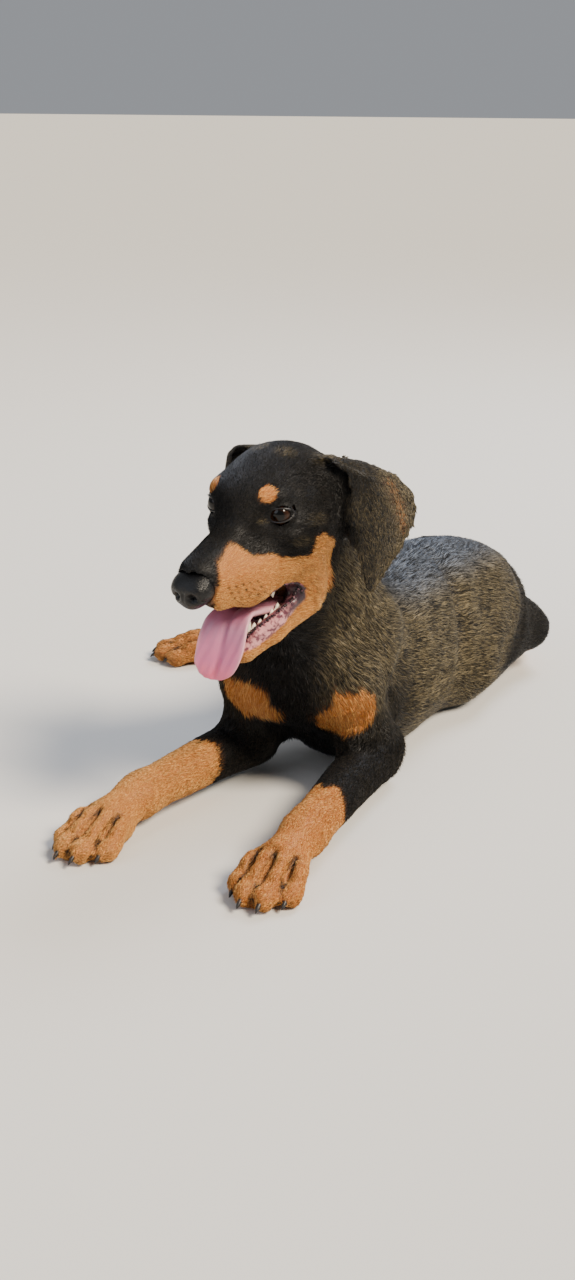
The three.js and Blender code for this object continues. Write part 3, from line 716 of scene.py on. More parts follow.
# Fills a colour ramp with stops, each a position and a colour.
def set_stops(ramp, stops):
    elements = ramp.color_ramp.elements
    elements[0].position, elements[-1].position = stops[0][0], stops[-1][0]
    for position, _ in stops[1:-1]:
        elements.new(position)
    for element, (_, colour) in zip(elements, stops):
        element.color = linear(colour)


# Short-haired skin: what shows between the tufts, near black or tan, with a fine grain
# of hair about a millimetre wide, and in the mouth wet pink lining that turns near black
# towards the throat as painted shade.
hide = new_material("short_haired_skin")
tone_node = node(hide, "ShaderNodeAttribute", attribute_name="tone")
mouth_node = node(hide, "ShaderNodeAttribute", attribute_name="mouth")
place = node(hide, "ShaderNodeTexCoord")
grain = node(hide, "ShaderNodeTexNoise", {
    "Vector": place.outputs["Object"], "Scale": 900.0, "Detail": 3.0,
})
fleck = node(hide, "ShaderNodeTexNoise", {"Vector": place.outputs["Object"], "Scale": 260.0})
coat_colour = node(hide, "ShaderNodeMix", {
    "Factor": tone_node.outputs["Fac"], "A": linear("#060608"), "B": linear("#9a6230"),
}, data_type="RGBA")
lining_ramp = node(hide, "ShaderNodeValToRGB", {"Fac": fleck.outputs["Fac"]})
set_stops(lining_ramp, [(0.4, "#6a3c48"), (0.54, "#cc8e90")])
# Painted shade: towards the throat the lining turns near black.
throat_shade_node = node(hide, "ShaderNodeAttribute", attribute_name="throat_shade")
lining = node(hide, "ShaderNodeMix", {
    "Factor": throat_shade_node.outputs["Fac"], "A": lining_ramp.outputs["Color"], "B": linear("#24121c"),
}, data_type="RGBA")
whole_colour = node(hide, "ShaderNodeMix", {
    "Factor": mouth_node.outputs["Fac"], "A": coat_colour.outputs["Result"], "B": lining.outputs["Result"],
}, data_type="RGBA")
gloss = node(hide, "ShaderNodeMapRange", {
    "Value": mouth_node.outputs["Fac"], "To Min": 0.55, "To Max": 0.25,
})
relief = node(hide, "ShaderNodeBump", {
    "Height": grain.outputs["Fac"], "Strength": 0.5, "Distance": 0.0006,
})
finish_material(hide, node(hide, "ShaderNodeBsdfPrincipled", {
    "Base Color": whole_colour.outputs["Result"], "Roughness": gloss.outputs["Result"],
    "Normal": relief.outputs["Normal"], "Specular IOR Level": 0.4,
}))
skin.data.materials.append(hide)
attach(skin, "root")
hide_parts(*FLESH)


# The eyes are dark brown and wet. Each is a sphere whose clear front bulges a little.
# Its rings of colour follow the angle from where it looks, in radians.
CORNEA_ANGLE = 0.72
CORNEA_BULGE = 0.9
RINGS_TO = 1.4

# Wet brown eye: a black pupil, a brown iris with a dark edge and then the white's edge,
# which is dark too, all under one clear gloss.
wet_eye = new_material("wet_brown_eye")
angle_node = node(wet_eye, "ShaderNodeAttribute", attribute_name="angle")
eye_ramp = node(wet_eye, "ShaderNodeValToRGB", {"Fac": angle_node.outputs["Fac"]})
set_stops(eye_ramp, [
    (0.0, "#030303"), (0.27, "#030303"), (0.31, "#1c0f08"), (0.5, "#2c180d"), (0.62, "#0d0705"),
    (0.72, "#050303"), (0.9, "#140e0d"),
])
finish_material(wet_eye, node(wet_eye, "ShaderNodeBsdfPrincipled", {
    "Base Color": eye_ramp.outputs["Color"], "Roughness": 0.05, "IOR": 1.34,
}))
for side, name in ((1, "eye_left"), (-1, "eye_right")):
    bpy.ops.object.select_all(action="DESELECT")
    bpy.ops.mesh.primitive_uv_sphere_add(segments=48, ring_count=32, radius=EYEBALL * MM)
    ball = bpy.context.object
    points = points_of(ball.data)
    angle = np.arccos(np.clip(points[:, 2] / (EYEBALL * MM), -1, 1))
    bulge = 1 + CORNEA_BULGE / EYEBALL * np.clip(1 - (angle / CORNEA_ANGLE) ** 2, 0, 1)
    points = points * bulge[:, None]
    out, along, above = eye_axes(side)
    turned = points @ np.stack([np.cross(above, out), above, out])
    set_points(ball.data, EYE_CENTRES[side] + turned)
    add_values(ball.data, "angle", angle / RINGS_TO)
    ball.name = f"{name}_ball"
    ball.data.shade_smooth()
    ball.data.materials.append(wet_eye)
    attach(ball, "root")
    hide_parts(name)

# Bare dark skin edges the lids. Each edge is a thin rounded roll that lies on the eyeball
# round the whole opening and is thickest in its corners.
RIM_POINTS = 56
RIM_OUT = 0.7
RIM_RADIUS = 0.75
CORNER_EXTRA = 0.45

# Bare dark skin: nearly black and a little moist, with pores under a millimetre apart.
bare_skin = new_material("bare_dark_skin")
place = node(bare_skin, "ShaderNodeTexCoord")
pores = node(bare_skin, "ShaderNodeTexNoise", {"Vector": place.outputs["Object"], "Scale": 1500.0})
pore_relief = node(bare_skin, "ShaderNodeBump", {
    "Height": pores.outputs["Fac"], "Strength": 0.4, "Distance": 0.0003,
})
finish_material(bare_skin, node(bare_skin, "ShaderNodeBsdfPrincipled", {
    "Base Color": linear("#0c090a"), "Roughness": 0.4, "Normal": pore_relief.outputs["Normal"],
}))


# The faces of a closed tube of rings, each of as many points as it has sides. A ringed
# tube joins its last ring to its first, and any other has a cap at each end.
def tube_faces(rings, sides, base=0, ringed=False):
    faces = []
    for i in range(rings if ringed else rings - 1):
        here, there = base + i * sides, base + (i + 1) % rings * sides
        for k in range(sides):
            m = (k + 1) % sides
            faces.append((here + k, here + m, there + m, there + k))
    if not ringed:
        faces.append(tuple(base + k for k in range(sides)))
        faces.append(tuple(base + (rings - 1) * sides + k for k in range(sides)))
    return faces


# Makes a closed piece of the given points and faces, with its faces turned outwards.
def placed_mesh(name, points, faces, material):
    mesh = bpy.data.meshes.new(name)
    mesh.from_pydata([tuple(p) for p in points], [], faces)
    shape = bmesh.new()
    shape.from_mesh(mesh)
    bmesh.ops.recalc_face_normals(shape, faces=shape.faces)
    shape.to_mesh(mesh)
    shape.free()
    made = bpy.data.objects.new(name, mesh)
    scene.collection.objects.link(made)
    mesh.shade_smooth()
    mesh.materials.append(material)
    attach(made, "root")
    return made


# A closed roll of round section along places, with a radius at each, open or ringed.
def roll(name, places, radii, material, ringed=False, sides=8):
    places = np.array(places)
    if ringed:
        forward = np.roll(places, -1, axis=0) - np.roll(places, 1, axis=0)
    else:
        forward = np.gradient(places, axis=0)
    forward /= np.linalg.norm(forward, axis=1, keepdims=True)
    lean = np.cross(forward, UP)
    upright = np.linalg.norm(lean, axis=1) < 0.2
    lean[upright] = np.cross(forward[upright], ACROSS)
    lean /= np.linalg.norm(lean, axis=1, keepdims=True)
    other = np.cross(forward, lean)
    points = []
    for i, place in enumerate(places):
        for k in range(sides):
            turn = 2 * math.pi * k / sides
            section = math.cos(turn) * lean[i] + math.sin(turn) * other[i]
            points.append(place + radii[i] * MM * section)
    placed_mesh(name, points, tube_faces(len(places), sides, ringed=ringed), material)


for side, name in ((1, "left"), (-1, "right")):
    out, along, above = eye_axes(side)
    places, radii = [], []
    for i in range(RIM_POINTS):
        turn = 2 * math.pi * i / RIM_POINTS
        u = (OPENING_HALF + 0.3) * math.cos(turn)
        v = math.sin(turn) * (OPENING_ABOVE if math.sin(turn) > 0 else OPENING_BELOW)
        w = math.sqrt(max((EYEBALL + RIM_OUT) ** 2 - u * u - v * v, 1))
        places.append(EYE_CENTRES[side] + (u * along + v * above + w * out) * MM)
        radii.append(RIM_RADIUS + CORNER_EXTRA * abs(math.cos(turn)) ** 3)
    roll(f"lid_edge_{name}", places, radii, bare_skin, ringed=True)

# The lips' edges: the lower lip ends in a fringe of small soft points, and the upper
# lip in a thin edge that is widest in the corner of the mouth. Both lie on the skin.
UPPER_EDGE = [
    (33, -24, -64), (34, -23, -59), (32, -18, -55), (30, -9, -54), (29, 2, -54.5), (27, 12, -57),
]
EDGE_POINTS = 40
FRINGE_POINTS = 240
FRINGE_SCALLOP = 4
FRINGE_RADIUS = 0.35
SCALLOP_EXTRA = 1.25

# Dark wet lip skin: near black with patches of purple pink a few millimetres wide.
dark_lips = new_material("dark_wet_lip_skin")
place = node(dark_lips, "ShaderNodeTexCoord")
patches = node(dark_lips, "ShaderNodeTexNoise", {"Vector": place.outputs["Object"], "Scale": 420.0})
lip_ramp = node(dark_lips, "ShaderNodeValToRGB", {"Fac": patches.outputs["Fac"]})
set_stops(lip_ramp, [(0.5, "#1c1016"), (0.72, "#7d4a5a")])
finish_material(dark_lips, node(dark_lips, "ShaderNodeBsdfPrincipled", {
    "Base Color": lip_ramp.outputs["Color"], "Roughness": 0.3, "Specular IOR Level": 0.35,
}))
skin_faces = [tuple(face.vertices) for face in skin.data.polygons]
skin_tree = BVHTree.FromPolygons([Vector(p) for p in co], skin_faces)


def along_line(line, count):
    line = np.array(line, float)
    travelled = np.concatenate([[0], np.cumsum(np.linalg.norm(np.diff(line, axis=0), axis=1))])
    at = np.linspace(0, travelled[-1], count)
    return np.stack([np.interp(at, travelled, line[:, k]) for k in range(3)], axis=1)


def laid_on_skin(places, lift):
    laid = []
    for place in places:
        near, normal, _, _ = skin_tree.find_nearest(Vector(on_head(*place)))
        laid.append(np.array(near + normal * lift * MM))
    laid = np.array(laid)
    laid[1:-1] = (laid[:-2] + laid[1:-1] + laid[2:]) / 3
    return laid


whole_fringe = LIP_FRINGE[:-1] + mirrored(LIP_FRINGE)[::-1]
fringe = laid_on_skin(along_line(whole_fringe, FRINGE_POINTS), 0.2)
scallops = np.abs(np.sin(np.arange(FRINGE_POINTS) * math.pi / FRINGE_SCALLOP))
roll("lip_fringe", fringe, FRINGE_RADIUS + SCALLOP_EXTRA * scallops ** 2, dark_lips)
for side, name in ((1, "left"), (-1, "right")):
    edge = UPPER_EDGE if side == 1 else mirrored(UPPER_EDGE)
    radii = np.interp(np.arange(EDGE_POINTS), [0, 10, EDGE_POINTS - 1], [1.6, 1.3, 0.4])
    edge = laid_on_skin(along_line(edge, EDGE_POINTS), 0.1)
    roll(f"lip_edge_{name}", edge, radii, dark_lips)

# The nose leather: a broad pad of damp pebbled black skin with round nostrils that
# run out into a slit at each side, and a groove down its middle to the lip.
NOSE_PLACE = (0, 64.0, -45.0)
NOSE_HALF = (16.8, 12.5, 14.8)
NOSE_SQUARE = 0.92
NOSE_TAPER = 0.45
NOSE_SLOPE = 5.0
NOSE_STROKES = both_sides([
    ([(6.8, 11.5, -3.6), (7.4, 11.5, -4.0)], 2.7, -5.0),
    ([(8.5, 11, -5.0), (12.5, 8, -6.4), (15.5, 3, -6.6)], 1.3, -1.8),
    ([(11, 9, 1.5), (6, 12.0, 1.5)], 3.4, 0.7),
    ([(10, 9, -9.5), (13, 6, -9)], 3.0, 0.7),
]) + [([(0, 13, -1), (0, 12, -15)], 1.0, -1.4)]
bpy.ops.object.select_all(action="DESELECT")
bpy.ops.mesh.primitive_uv_sphere_add(segments=96, ring_count=64, radius=1)
nose = bpy.context.object
nose.name = "nose_leather"
shape = points_of(nose.data)
squared = np.sign(shape) * np.abs(shape) ** NOSE_SQUARE
lower = np.clip(-shape[:, 2], 0, 1)
pad = squared * np.array(NOSE_HALF)
pad[:, 0] *= 1 - NOSE_TAPER * lower ** 1.5
pad[:, 1] -= NOSE_SLOPE * np.clip(shape[:, 2], 0, 1) ** 2
outward = pad / np.array(NOSE_HALF) ** 2
outward /= np.linalg.norm(outward, axis=1, keepdims=True)
lift = np.zeros(len(pad))
for line, width, height in NOSE_STROKES:
    lift += height * np.exp(-(distance_to_line(pad, line) / width) ** 2)
pad += outward * lift[:, None]
set_points(nose.data, HEAD + (pad + NOSE_PLACE) @ np.stack([ACROSS, AHEAD, UP]) * MM)
nose.data.shade_smooth()

# Damp nose leather: black, with pebbles about a millimetre wide and a soft gloss.
nose_leather = new_material("damp_nose_leather")
place = node(nose_leather, "ShaderNodeTexCoord")
pebbles = node(nose_leather, "ShaderNodeTexVoronoi", {
    "Vector": place.outputs["Object"], "Scale": 1100.0,
})
pebble_relief = node(nose_leather, "ShaderNodeBump", {
    "Height": pebbles.outputs["Distance"], "Strength": 0.55, "Distance": 0.0005,
}, invert=True)
finish_material(nose_leather, node(nose_leather, "ShaderNodeBsdfPrincipled", {
    "Base Color": linear("#040405"), "Roughness": 0.3, "Specular IOR Level": 0.35,
    "Normal": pebble_relief.outputs["Normal"],
}))
nose.data.materials.append(nose_leather)
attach(nose, "root")
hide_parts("nose")

# The tongue is one wet muscle: it leaves the throat, lies over the lower jaw's teeth
# and hangs, with a groove along its middle and a rounded rim. Rows give its place,
# half width and thickness in mm from the throat to the tip.
TONGUE_ROWS = [
    ((0, -32, -77), 10, 5), ((0, -14, -78), 12, 5), ((0, 4, -76), 13.5, 4.5),
    ((0, 17, -75), 15.5, 4), ((0, 26, -80), 17.5, 3.6), ((0, 31, -89), 18.5, 3.3),
    ((-1, 34, -99), 18.5, 3.1), ((-3, 35.5, -108), 17.5, 2.9), ((-4.5, 36, -116), 14, 2.5),
    ((-6, 36, -121), 8.5, 1.8), ((-6.6, 35.8, -123), 2, 0.8),
]
TONGUE_STEPS = 70
TONGUE_SIDES = 56
TONGUE_TURN = math.radians(14)
TONGUE_SHIFT = 2
GROOVE_DEPTH = 2.8
GROOVE_WIDTH = 2.4
RIM_CURL = 2.6
RIPPLE_HEIGHT = 0.35
row_values = np.array([list(place) + [half, thick] for place, half, thick in TONGUE_ROWS], float)


# A smooth curve through evenly spaced rows of values.
def through(rows, t):
    i = np.clip(np.floor(t).astype(int), 0, len(rows) - 2)
    f = (t - i)[:, None]
    before, start = rows[np.maximum(i - 1, 0)], rows[i]
    end, after = rows[i + 1], rows[np.minimum(i + 2, len(rows) - 1)]
    return 0.5 * (2 * start + (end - before) * f + (2 * before - 5 * start + 4 * end - after) * f ** 2
                  + (3 * start - before - 3 * end + after) * f ** 3)


steps = np.linspace(0, len(TONGUE_ROWS) - 1, TONGUE_STEPS)
smooth_rows = through(row_values, steps)
forward = np.gradient(smooth_rows[:, :3], axis=0)
forward /= np.linalg.norm(forward, axis=1, keepdims=True)
tongue_points, tongue_along = [], []
for i, row in enumerate(smooth_rows):
    turn = min(steps[i] / 6, 1) * TONGUE_TURN
    across = np.array([math.cos(turn), -math.sin(turn), 0])
    above = np.cross(across, forward[i])
    above *= -1 if above[1] + above[2] < 0 else 1
    above /= np.linalg.norm(above)
    half, thick = max(row[3], 0.5), max(row[4], 0.4)
    for k in range(TONGUE_SIDES):
        angle = 2 * math.pi * k / TONGUE_SIDES
        x, top = half * math.cos(angle), math.sin(angle)
        body = np.sign(top) * abs(top) ** 0.7 * thick
        groove = GROOVE_DEPTH * math.exp(-(x / GROOVE_WIDTH) ** 2) * min(steps[i] / 2, 1)
        groove *= (1 if top > 0 else -0.3) * min(1, half / 10)
        curl = RIM_CURL * (abs(x) / 17) ** 2.4 * min(steps[i] / 4, 1)
        ripple_up = RIPPLE_HEIGHT * math.sin(x * 0.9 + steps[i] * 2.3) * (1 if top > 0 else 0)
        place = row[:3] + across * x + above * (body - groove + curl + ripple_up)
        tongue_points.append(on_head(place[0] + TONGUE_SHIFT, place[1], place[2]))
        tongue_along.append(steps[i] / (len(TONGUE_ROWS) - 1))

# Wet tongue: pink to rose towards the tip and paler at its rim, with papillae under a
# millimetre apart and a little light passing through it.
wet_tongue = new_material("wet_tongue")
place = node(wet_tongue, "ShaderNodeTexCoord")
along_node = node(wet_tongue, "ShaderNodeAttribute", attribute_name="along")
rim_node = node(wet_tongue, "ShaderNodeAttribute", attribute_name="rim")
mottle = node(wet_tongue, "ShaderNodeTexNoise", {
    "Vector": place.outputs["Object"], "Scale": 120.0, "Detail": 3.0,
})
spread = node(wet_tongue, "ShaderNodeMath", {
    0: mottle.outputs["Fac"], 1: 0.12, 2: along_node.outputs["Fac"],
}, operation="MULTIPLY_ADD")
tongue_ramp = node(wet_tongue, "ShaderNodeValToRGB", {"Fac": spread.outputs["Value"]})
set_stops(tongue_ramp, [(0.3, "#8f5b6b"), (0.52, "#a86c88"), (0.74, "#c0648a"), (0.94, "#dc6888")])
tongue_mix = node(wet_tongue, "ShaderNodeMix", {
    "Factor": rim_node.outputs["Fac"], "A": tongue_ramp.outputs["Color"], "B": linear("#eab2bc"),
}, data_type="RGBA")
papillae = node(wet_tongue, "ShaderNodeTexVoronoi", {
    "Vector": place.outputs["Object"], "Scale": 1400.0,
})
papillae_relief = node(wet_tongue, "ShaderNodeBump", {
    "Height": papillae.outputs["Distance"], "Strength": 0.25, "Distance": 0.0003,
}, invert=True)
finish_material(wet_tongue, node(wet_tongue, "ShaderNodeBsdfPrincipled", {
    "Base Color": tongue_mix.outputs["Result"], "Roughness": 0.36,
    "Normal": papillae_relief.outputs["Normal"],
    "Subsurface Weight": 0.15, "Subsurface Radius": (0.004, 0.0015, 0.001), "Subsurface Scale": 1.0,
}))
tongue_faces = tube_faces(TONGUE_STEPS, TONGUE_SIDES)
tongue = placed_mesh("tongue_muscle", tongue_points, tongue_faces, wet_tongue)
add_values(tongue.data, "along", np.array(tongue_along))
rim = np.tile(np.abs(np.cos(2 * math.pi * np.arange(TONGUE_SIDES) / TONGUE_SIDES)) ** 14, TONGUE_STEPS)
add_values(tongue.data, "rim", rim * 0.7)
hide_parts("tongue")

# The milk teeth are smooth ivory cones: small incisors, long curved canines and
# three-pointed cheek teeth, set in two arches. Sizes are in mm.
ARCHES = {
    "upper": {"half_width": 18.5, "rear": -16, "front": 52, "up": -57, "rise": 5, "pointing": -1,
              "cheek_length": 12},
    "lower": {"half_width": 16.5, "rear": -20, "front": 13, "up": -77, "rise": -17, "pointing": 1,
              "cheek_length": 8.5},
}
ARCH_TEETH = 16
ARCH_HALF_TURN = 82
CANINE = 5
TOOTH_SINK = 2
CUSP_STEP = 2.8
CUSP_SHORTER = 3.5

# Tooth enamel: pale ivory, smooth and glossy, a little light passing through it.
enamel = new_material("tooth_enamel")
finish_material(enamel, node(enamel, "ShaderNodeBsdfPrincipled", {
    "Base Color": linear("#e9e1cf"), "Roughness": 0.22, "Subsurface Weight": 0.1,
    "Subsurface Radius": (0.001, 0.0007, 0.0004), "Subsurface Scale": 1.0,
}))

# Sizes of a tooth: half its width, half its depth, its length and how far it leans ahead.
CANINE_SIZES = (2.4, 2.2, 13, -2)
INCISOR_SIZES = (1.4, 1.7, 5.5, 0.8)


def tooth(points, faces, place, pointing, width, depth, length, lean):
    base = len(points)
    rings, sides = 6, 10
    for i in range(rings):
        t = i / (rings - 1)
        size = math.sqrt(max(1 - t ** 1.7, 0.002))
        for k in range(sides):
            turn = 2 * math.pi * k / sides
            points.append(on_head(
                place[0] + depth * size * math.cos(turn),
                place[1] + width * size * math.sin(turn) + lean * t * t,
                place[2] + pointing * (length * t - TOOTH_SINK),
            ))
    faces += tube_faces(rings, sides, base)


for name, arch in ARCHES.items():
    points, faces = [], []
    pointing, cheek_length = arch["pointing"], arch["cheek_length"]
    for i in range(ARCH_TEETH):
        turn = math.radians(ARCH_HALF_TURN * (2 * i / (ARCH_TEETH - 1) - 1))
        forward_share = math.cos(turn)
        place = (
            arch["half_width"] * math.sin(turn),
            arch["rear"] + (arch["front"] - arch["rear"]) * forward_share,
            arch["up"] + arch["rise"] * forward_share,
        )
        from_end = min(i, ARCH_TEETH - 1 - i)
        if from_end == CANINE:
            tooth(points, faces, place, pointing, *CANINE_SIZES)
        elif from_end > CANINE:
            tooth(points, faces, place, pointing, *INCISOR_SIZES)
        else:
            tooth(points, faces, place, pointing, 3.2, 2.0, cheek_length, -0.6)
            for step in (-CUSP_STEP, CUSP_STEP):
                beside = (place[0], place[1] + step, place[2])
                tooth(points, faces, beside, pointing, 1.8, 1.5, cheek_length - CUSP_SHORTER, 0)
    placed_mesh(f"teeth_{name}", points, faces, enamel)

# The claws are dark horn, one curved cone that grows from the end of each toe and stays
# just clear of the floor. Toes are given by side, how far ahead and half thickness.
TOES = [(-21, 70, 9.5), (-7.5, 83, 10.5), (7.5, 83, 10.5), (21, 70, 9.5)]
CLAW_LENGTH = 9.5
CLAW_RADIUS = 2.9
CLAW_SINK = 4
CLAW_DROP = 4.6

# Claw horn: brown black and smooth, with faint flecks about two millimetres wide.
horn = new_material("claw_horn")
place = node(horn, "ShaderNodeTexCoord")
flecks = node(horn, "ShaderNodeTexNoise", {"Vector": place.outputs["Object"], "Scale": 500.0})
horn_colour = node(horn, "ShaderNodeMix", {
    "Factor": flecks.outputs["Fac"], "A": linear("#0b0908"), "B": linear("#231c19"),
}, data_type="RGBA")
finish_material(horn, node(horn, "ShaderNodeBsdfPrincipled", {
    "Base Color": horn_colour.outputs["Result"], "Roughness": 0.42,
}))
for name, paw in PAWS.items():
    points, faces = [], []
    for side, ahead, radius in TOES:
        base = len(points)
        rings, sides = 8, 10
        for i in range(rings):
            t = i / (rings - 1)
            size = CLAW_RADIUS * math.sqrt(max(1 - t ** 1.5, 0.004))
            for k in range(sides):
                turn = 2 * math.pi * k / sides
                points.append(on_paw(
                    paw,
                    side + 0.8 * size * math.cos(turn),
                    ahead + radius - CLAW_SINK + CLAW_LENGTH * t,
                    radius - 0.6 - CLAW_DROP * t * t + size * math.sin(turn),
                ))
        faces += tube_faces(rings, sides, base)
    placed_mesh(f"claws_{name}", points, faces, horn)

# The whiskers are stiff dark hairs that grow from the spots on the upper lips, taper to
# a point and sweep back. Some are longer than others.
WHISKER_LENGTH = 20
WHISKER_RADIUS = 0.16
WHISKER_DROOP = 0.12

# Whisker hair: dark brown and smooth.
whisker_material = new_material("whisker_hair")
finish_material(whisker_material, node(whisker_material, "ShaderNodeBsdfPrincipled", {
    "Base Color": linear("#1a120d"), "Roughness": 0.4,
}))
points, faces = [], []
for side in (1, -1):
    for i, (out_at, ahead_at, up_at) in enumerate(WHISKERS):
        near, normal, _, _ = skin_tree.find_nearest(Vector(on_head(side * out_at, ahead_at, up_at)))
        sweep = on_head(side * 0.5, -0.75, -0.25 - 0.03 * (i % 5)) - HEAD
        heading = np.array(normal) * 0.55 + sweep / MM
        heading /= np.linalg.norm(heading)
        lean = np.cross(heading, UP)
        lean /= np.linalg.norm(lean)
        other = np.cross(heading, lean)
        length = WHISKER_LENGTH * (0.6 + 0.13 * (i % 4))
        base = len(points)
        for k in range(3):
            turn = 2 * math.pi * k / 3
            section = math.cos(turn) * lean + math.sin(turn) * other
            points.append(np.array(near) + WHISKER_RADIUS * MM * section)
        points.append(np.array(near) + heading * length * MM - UP * WHISKER_DROOP * length * MM)
        faces.append((base, base + 2, base + 1))
        faces += [(base + k, base + (k + 1) % 3, base + 3) for k in range(3)]
placed_mesh("whiskers", points, faces, whisker_material)

# The coat is short, flat hair in thin four-faced tufts over the whole skin. Each tuft's
# root is sunk in the skin and it follows the lie of the coat, which the lines below give
# from where the hair starts to where it points.
NEAR_LIE = [
    [(3, 60, -24), (5, 12, 0)], [(5, 12, 0), (12, -50, 40)], [(8, -50, 38), (12, -95, 8)],
    [(14, 56, -42), (30, 0, -40)], [(30, 0, -44), (42, -52, -58)], [(24, 14, -8), (38, -26, 6)],
    [(36, -20, -10), (44, -56, -24)], [(8, 16, -110), (24, -40, -94)], [(12, 50, -58), (30, -6, -56)],
    [(44, -52, 34), (62, -84, 18)], [(66, -86, 14), (69, -78, -66)], [(52, -52, 18), (60, -62, -64)],
]
HEAD_LIE = NEAR_LIE + [mirrored(line) for line in NEAR_LIE]
BODY_LIE = [
    [(11, 14, 262), (0, -30, 170)], [(50, 60, 220), (56, 0, 140)], [(-30, 60, 220), (-54, 0, 140)],
    [(11, 84, 170), (0, 80, 110)], [(0, 80, 110), (0, 40, 40)], [(0, -30, 162), (0, -320, 140)],
    [(50, -50, 130), (60, -200, 90)], [(-50, -50, 130), (-60, -200, 90)],
    [(60, -100, 60), (66, -260, 40)], [(-60, -100, 60), (-66, -260, 40)], [(0, 0, 8), (0, -300, 4)],
    [(46, 10, 120), (58, -20, 60)], [(-46, 14, 120), (-58, 0, 60)],
    [(54, -24, 30), (73, 130, 30)], [(-54, 0, 30), (-76, 138, 30)],
    [(40, -230, 110), (60, -320, 60)], [(0, -320, 130), (-6, -360, 80)],
    [(-30, -290, 120), (-88, -208, 110)], [(-88, -208, 90), (-176, -246, 34)],
    [(60, -300, 50), (48, -380, 30)],
    [(-20, -370, 84), (-70, -414, 38)], [(-70, -414, 38), (-130, -424, 8)],
    [(-150, -418, 8), (-214, -344, 5)],
]
LIE_SPREAD = 9.0
TUFT_SEED = 23
HAIR_LENGTH = {"head": 4.4, "jaw": 3.4, "ear": 2.9, "paw": 3.4, "lower": 5.5, "upper": 7.5, "tail": 7.5}
BODY_HAIR = 9.0
TUFTS_PER_CM2 = {"head": 170, "jaw": 170, "ear": 150, "paw": 130, "lower": 95, "tail": 80}
BODY_TUFTS_PER_CM2 = 62
TUFT_LIFT = math.radians(9)
TUFT_THICK = 0.3
TUFT_SINK = 0.35
SWAY = 0.16
MUZZLE_SHORTER = 0.42
BARE_MOUTH = 0.4
TONE_SCATTER = 0.75
SHADE_POWER = 1.7
NEAREST_FLOOR = 0.6
LOWEST_TIP = 0.2
COAT_PIECES = 8
PATCH = 0.003

lie_lines = [(on_head(*a), on_head(*b)) for a, b in HEAD_LIE]
lie_lines += [(on_body(*a), on_body(*b)) for a, b in BODY_LIE]
for paw in PAWS.values():
    lie_lines.append((on_paw(paw, 0, 0, 22), on_paw(paw, 0, 90, 12)))


# Near lines of the lie count most, and all of them together give its direction.
def lie_at(points):
    total = np.zeros_like(points)
    for a, b in lie_lines:
        away = np.linalg.norm(way_to_line(points, a, b), axis=1) / MM
        weight = 1 / (away ** 2 + LIE_SPREAD ** 2) ** 2
        total += weight[:, None] * (b - a) / np.linalg.norm(b - a)
    return total


# Black hair is lighter, a grey brown, along the neck's side, shoulder and flank and on
# the ears: partly the coat's own brownish tinge and mostly painted sheen of bright light
# on black hair. It also has pale hairs in a few places on the face, and one patch of
# painted sheen below the eye. The length of the hair and this lightening are found at the
# skin's points and then evened out, so that neither has a seam.
WORN_AND_SHEEN = {"head": 0.04, "jaw": 0.04, "ear": 0.75, "lower": 0.06, "paw": 0.1, "tail": 0.12}
# Middles, half sizes and strengths of the pale patches: the second, below the eye, is painted sheen, and
# the others are pale hairs.
PALE_HAIR_AND_SHEEN_PATCHES = [
    ((45, -23, -6), (9, 13, 6), 0.3), ((42, -9, -20), (9, 11, 5), 0.22), ((22, 11, -5), (6, 8, 3), 0.5),
    ((12, -30, 38), (11, 9, 6), 0.35),
]
# Painted sheen is mostly taken off the ear's top, which stays nearly black.
DARK_EAR = ((54, -58, 26), (17, 22, 22))
EVEN_ROUNDS = 9


def worn_and_sheen_share(points, parts):
    head, body = seen_from_head(points), seen_from_body(points)
    out_at, ahead_at, up_at = np.abs(body[:, 0]), body[:, 1], body[:, 2]
    one_side = np.abs(head) * [1, 0, 0] + head * [0, 1, 1]
    # Painted sheen: strong on the sides, weaker along the middle and on top of the back, on the neck's
    # front and low on the forelegs, and gone on the haunch and high up the neck.
    sheen = 0.12 + 0.88 * soft_step(out_at, 24, 48)
    sheen *= 1 - 0.6 * soft_step(up_at, 130, 156) * soft_step(-ahead_at, 40, 80)
    sheen *= soft_step(45 - ahead_at, -14, 14) * 0.88 + 0.12
    on_shoulder = soft_step(ahead_at, -95, -55)
    sheen *= 1 - 0.9 * on_shoulder * (1 - soft_step(up_at, 60, 110))
    haunch_from = 262 + 0.9 * (up_at - 60)
    sheen *= 1 - 0.92 * soft_step(-ahead_at - haunch_from, -4, 16)
    sheen *= 1 - 0.8 * soft_step(up_at, 200, 240)
    share = np.array([WORN_AND_SHEEN.get(part, 1.0) for part in parts])
    share *= np.where(np.isin(parts, list(WORN_AND_SHEEN)), 1, sheen)
    share *= 1 - 0.75 * (parts == "ear") * soft_step(1.3 - blob(one_side, *DARK_EAR), 0, 0.5)
    return share


# Painted sheen: the hair on top of the back is given a cool grey shine, a painted
# reflection of cool light from above.
def painted_cool_sheen_share(points):
    body = seen_from_body(points)
    ahead_at, up_at = body[:, 1], body[:, 2]
    return soft_step(up_at, 122, 148) * soft_step(-ahead_at, 60, 120) * soft_step(ahead_at, -345, -300)


# Tan hair is painted paler on the face and on the right foreleg than on the chest:
# painted light, as if these places were more brightly lit.
def painted_lit_tan(points, parts):
    body = seen_from_body(points)
    right_foreleg = (body[:, 0] < 0) & (body[:, 1] > 40) & (body[:, 2] < FORELEG_TOP)
    muzzle = np.isin(parts, ["head", "jaw"]) & (seen_from_head(points)[:, 2] < 0)
    return 0.22 * muzzle + 0.25 * right_foreleg


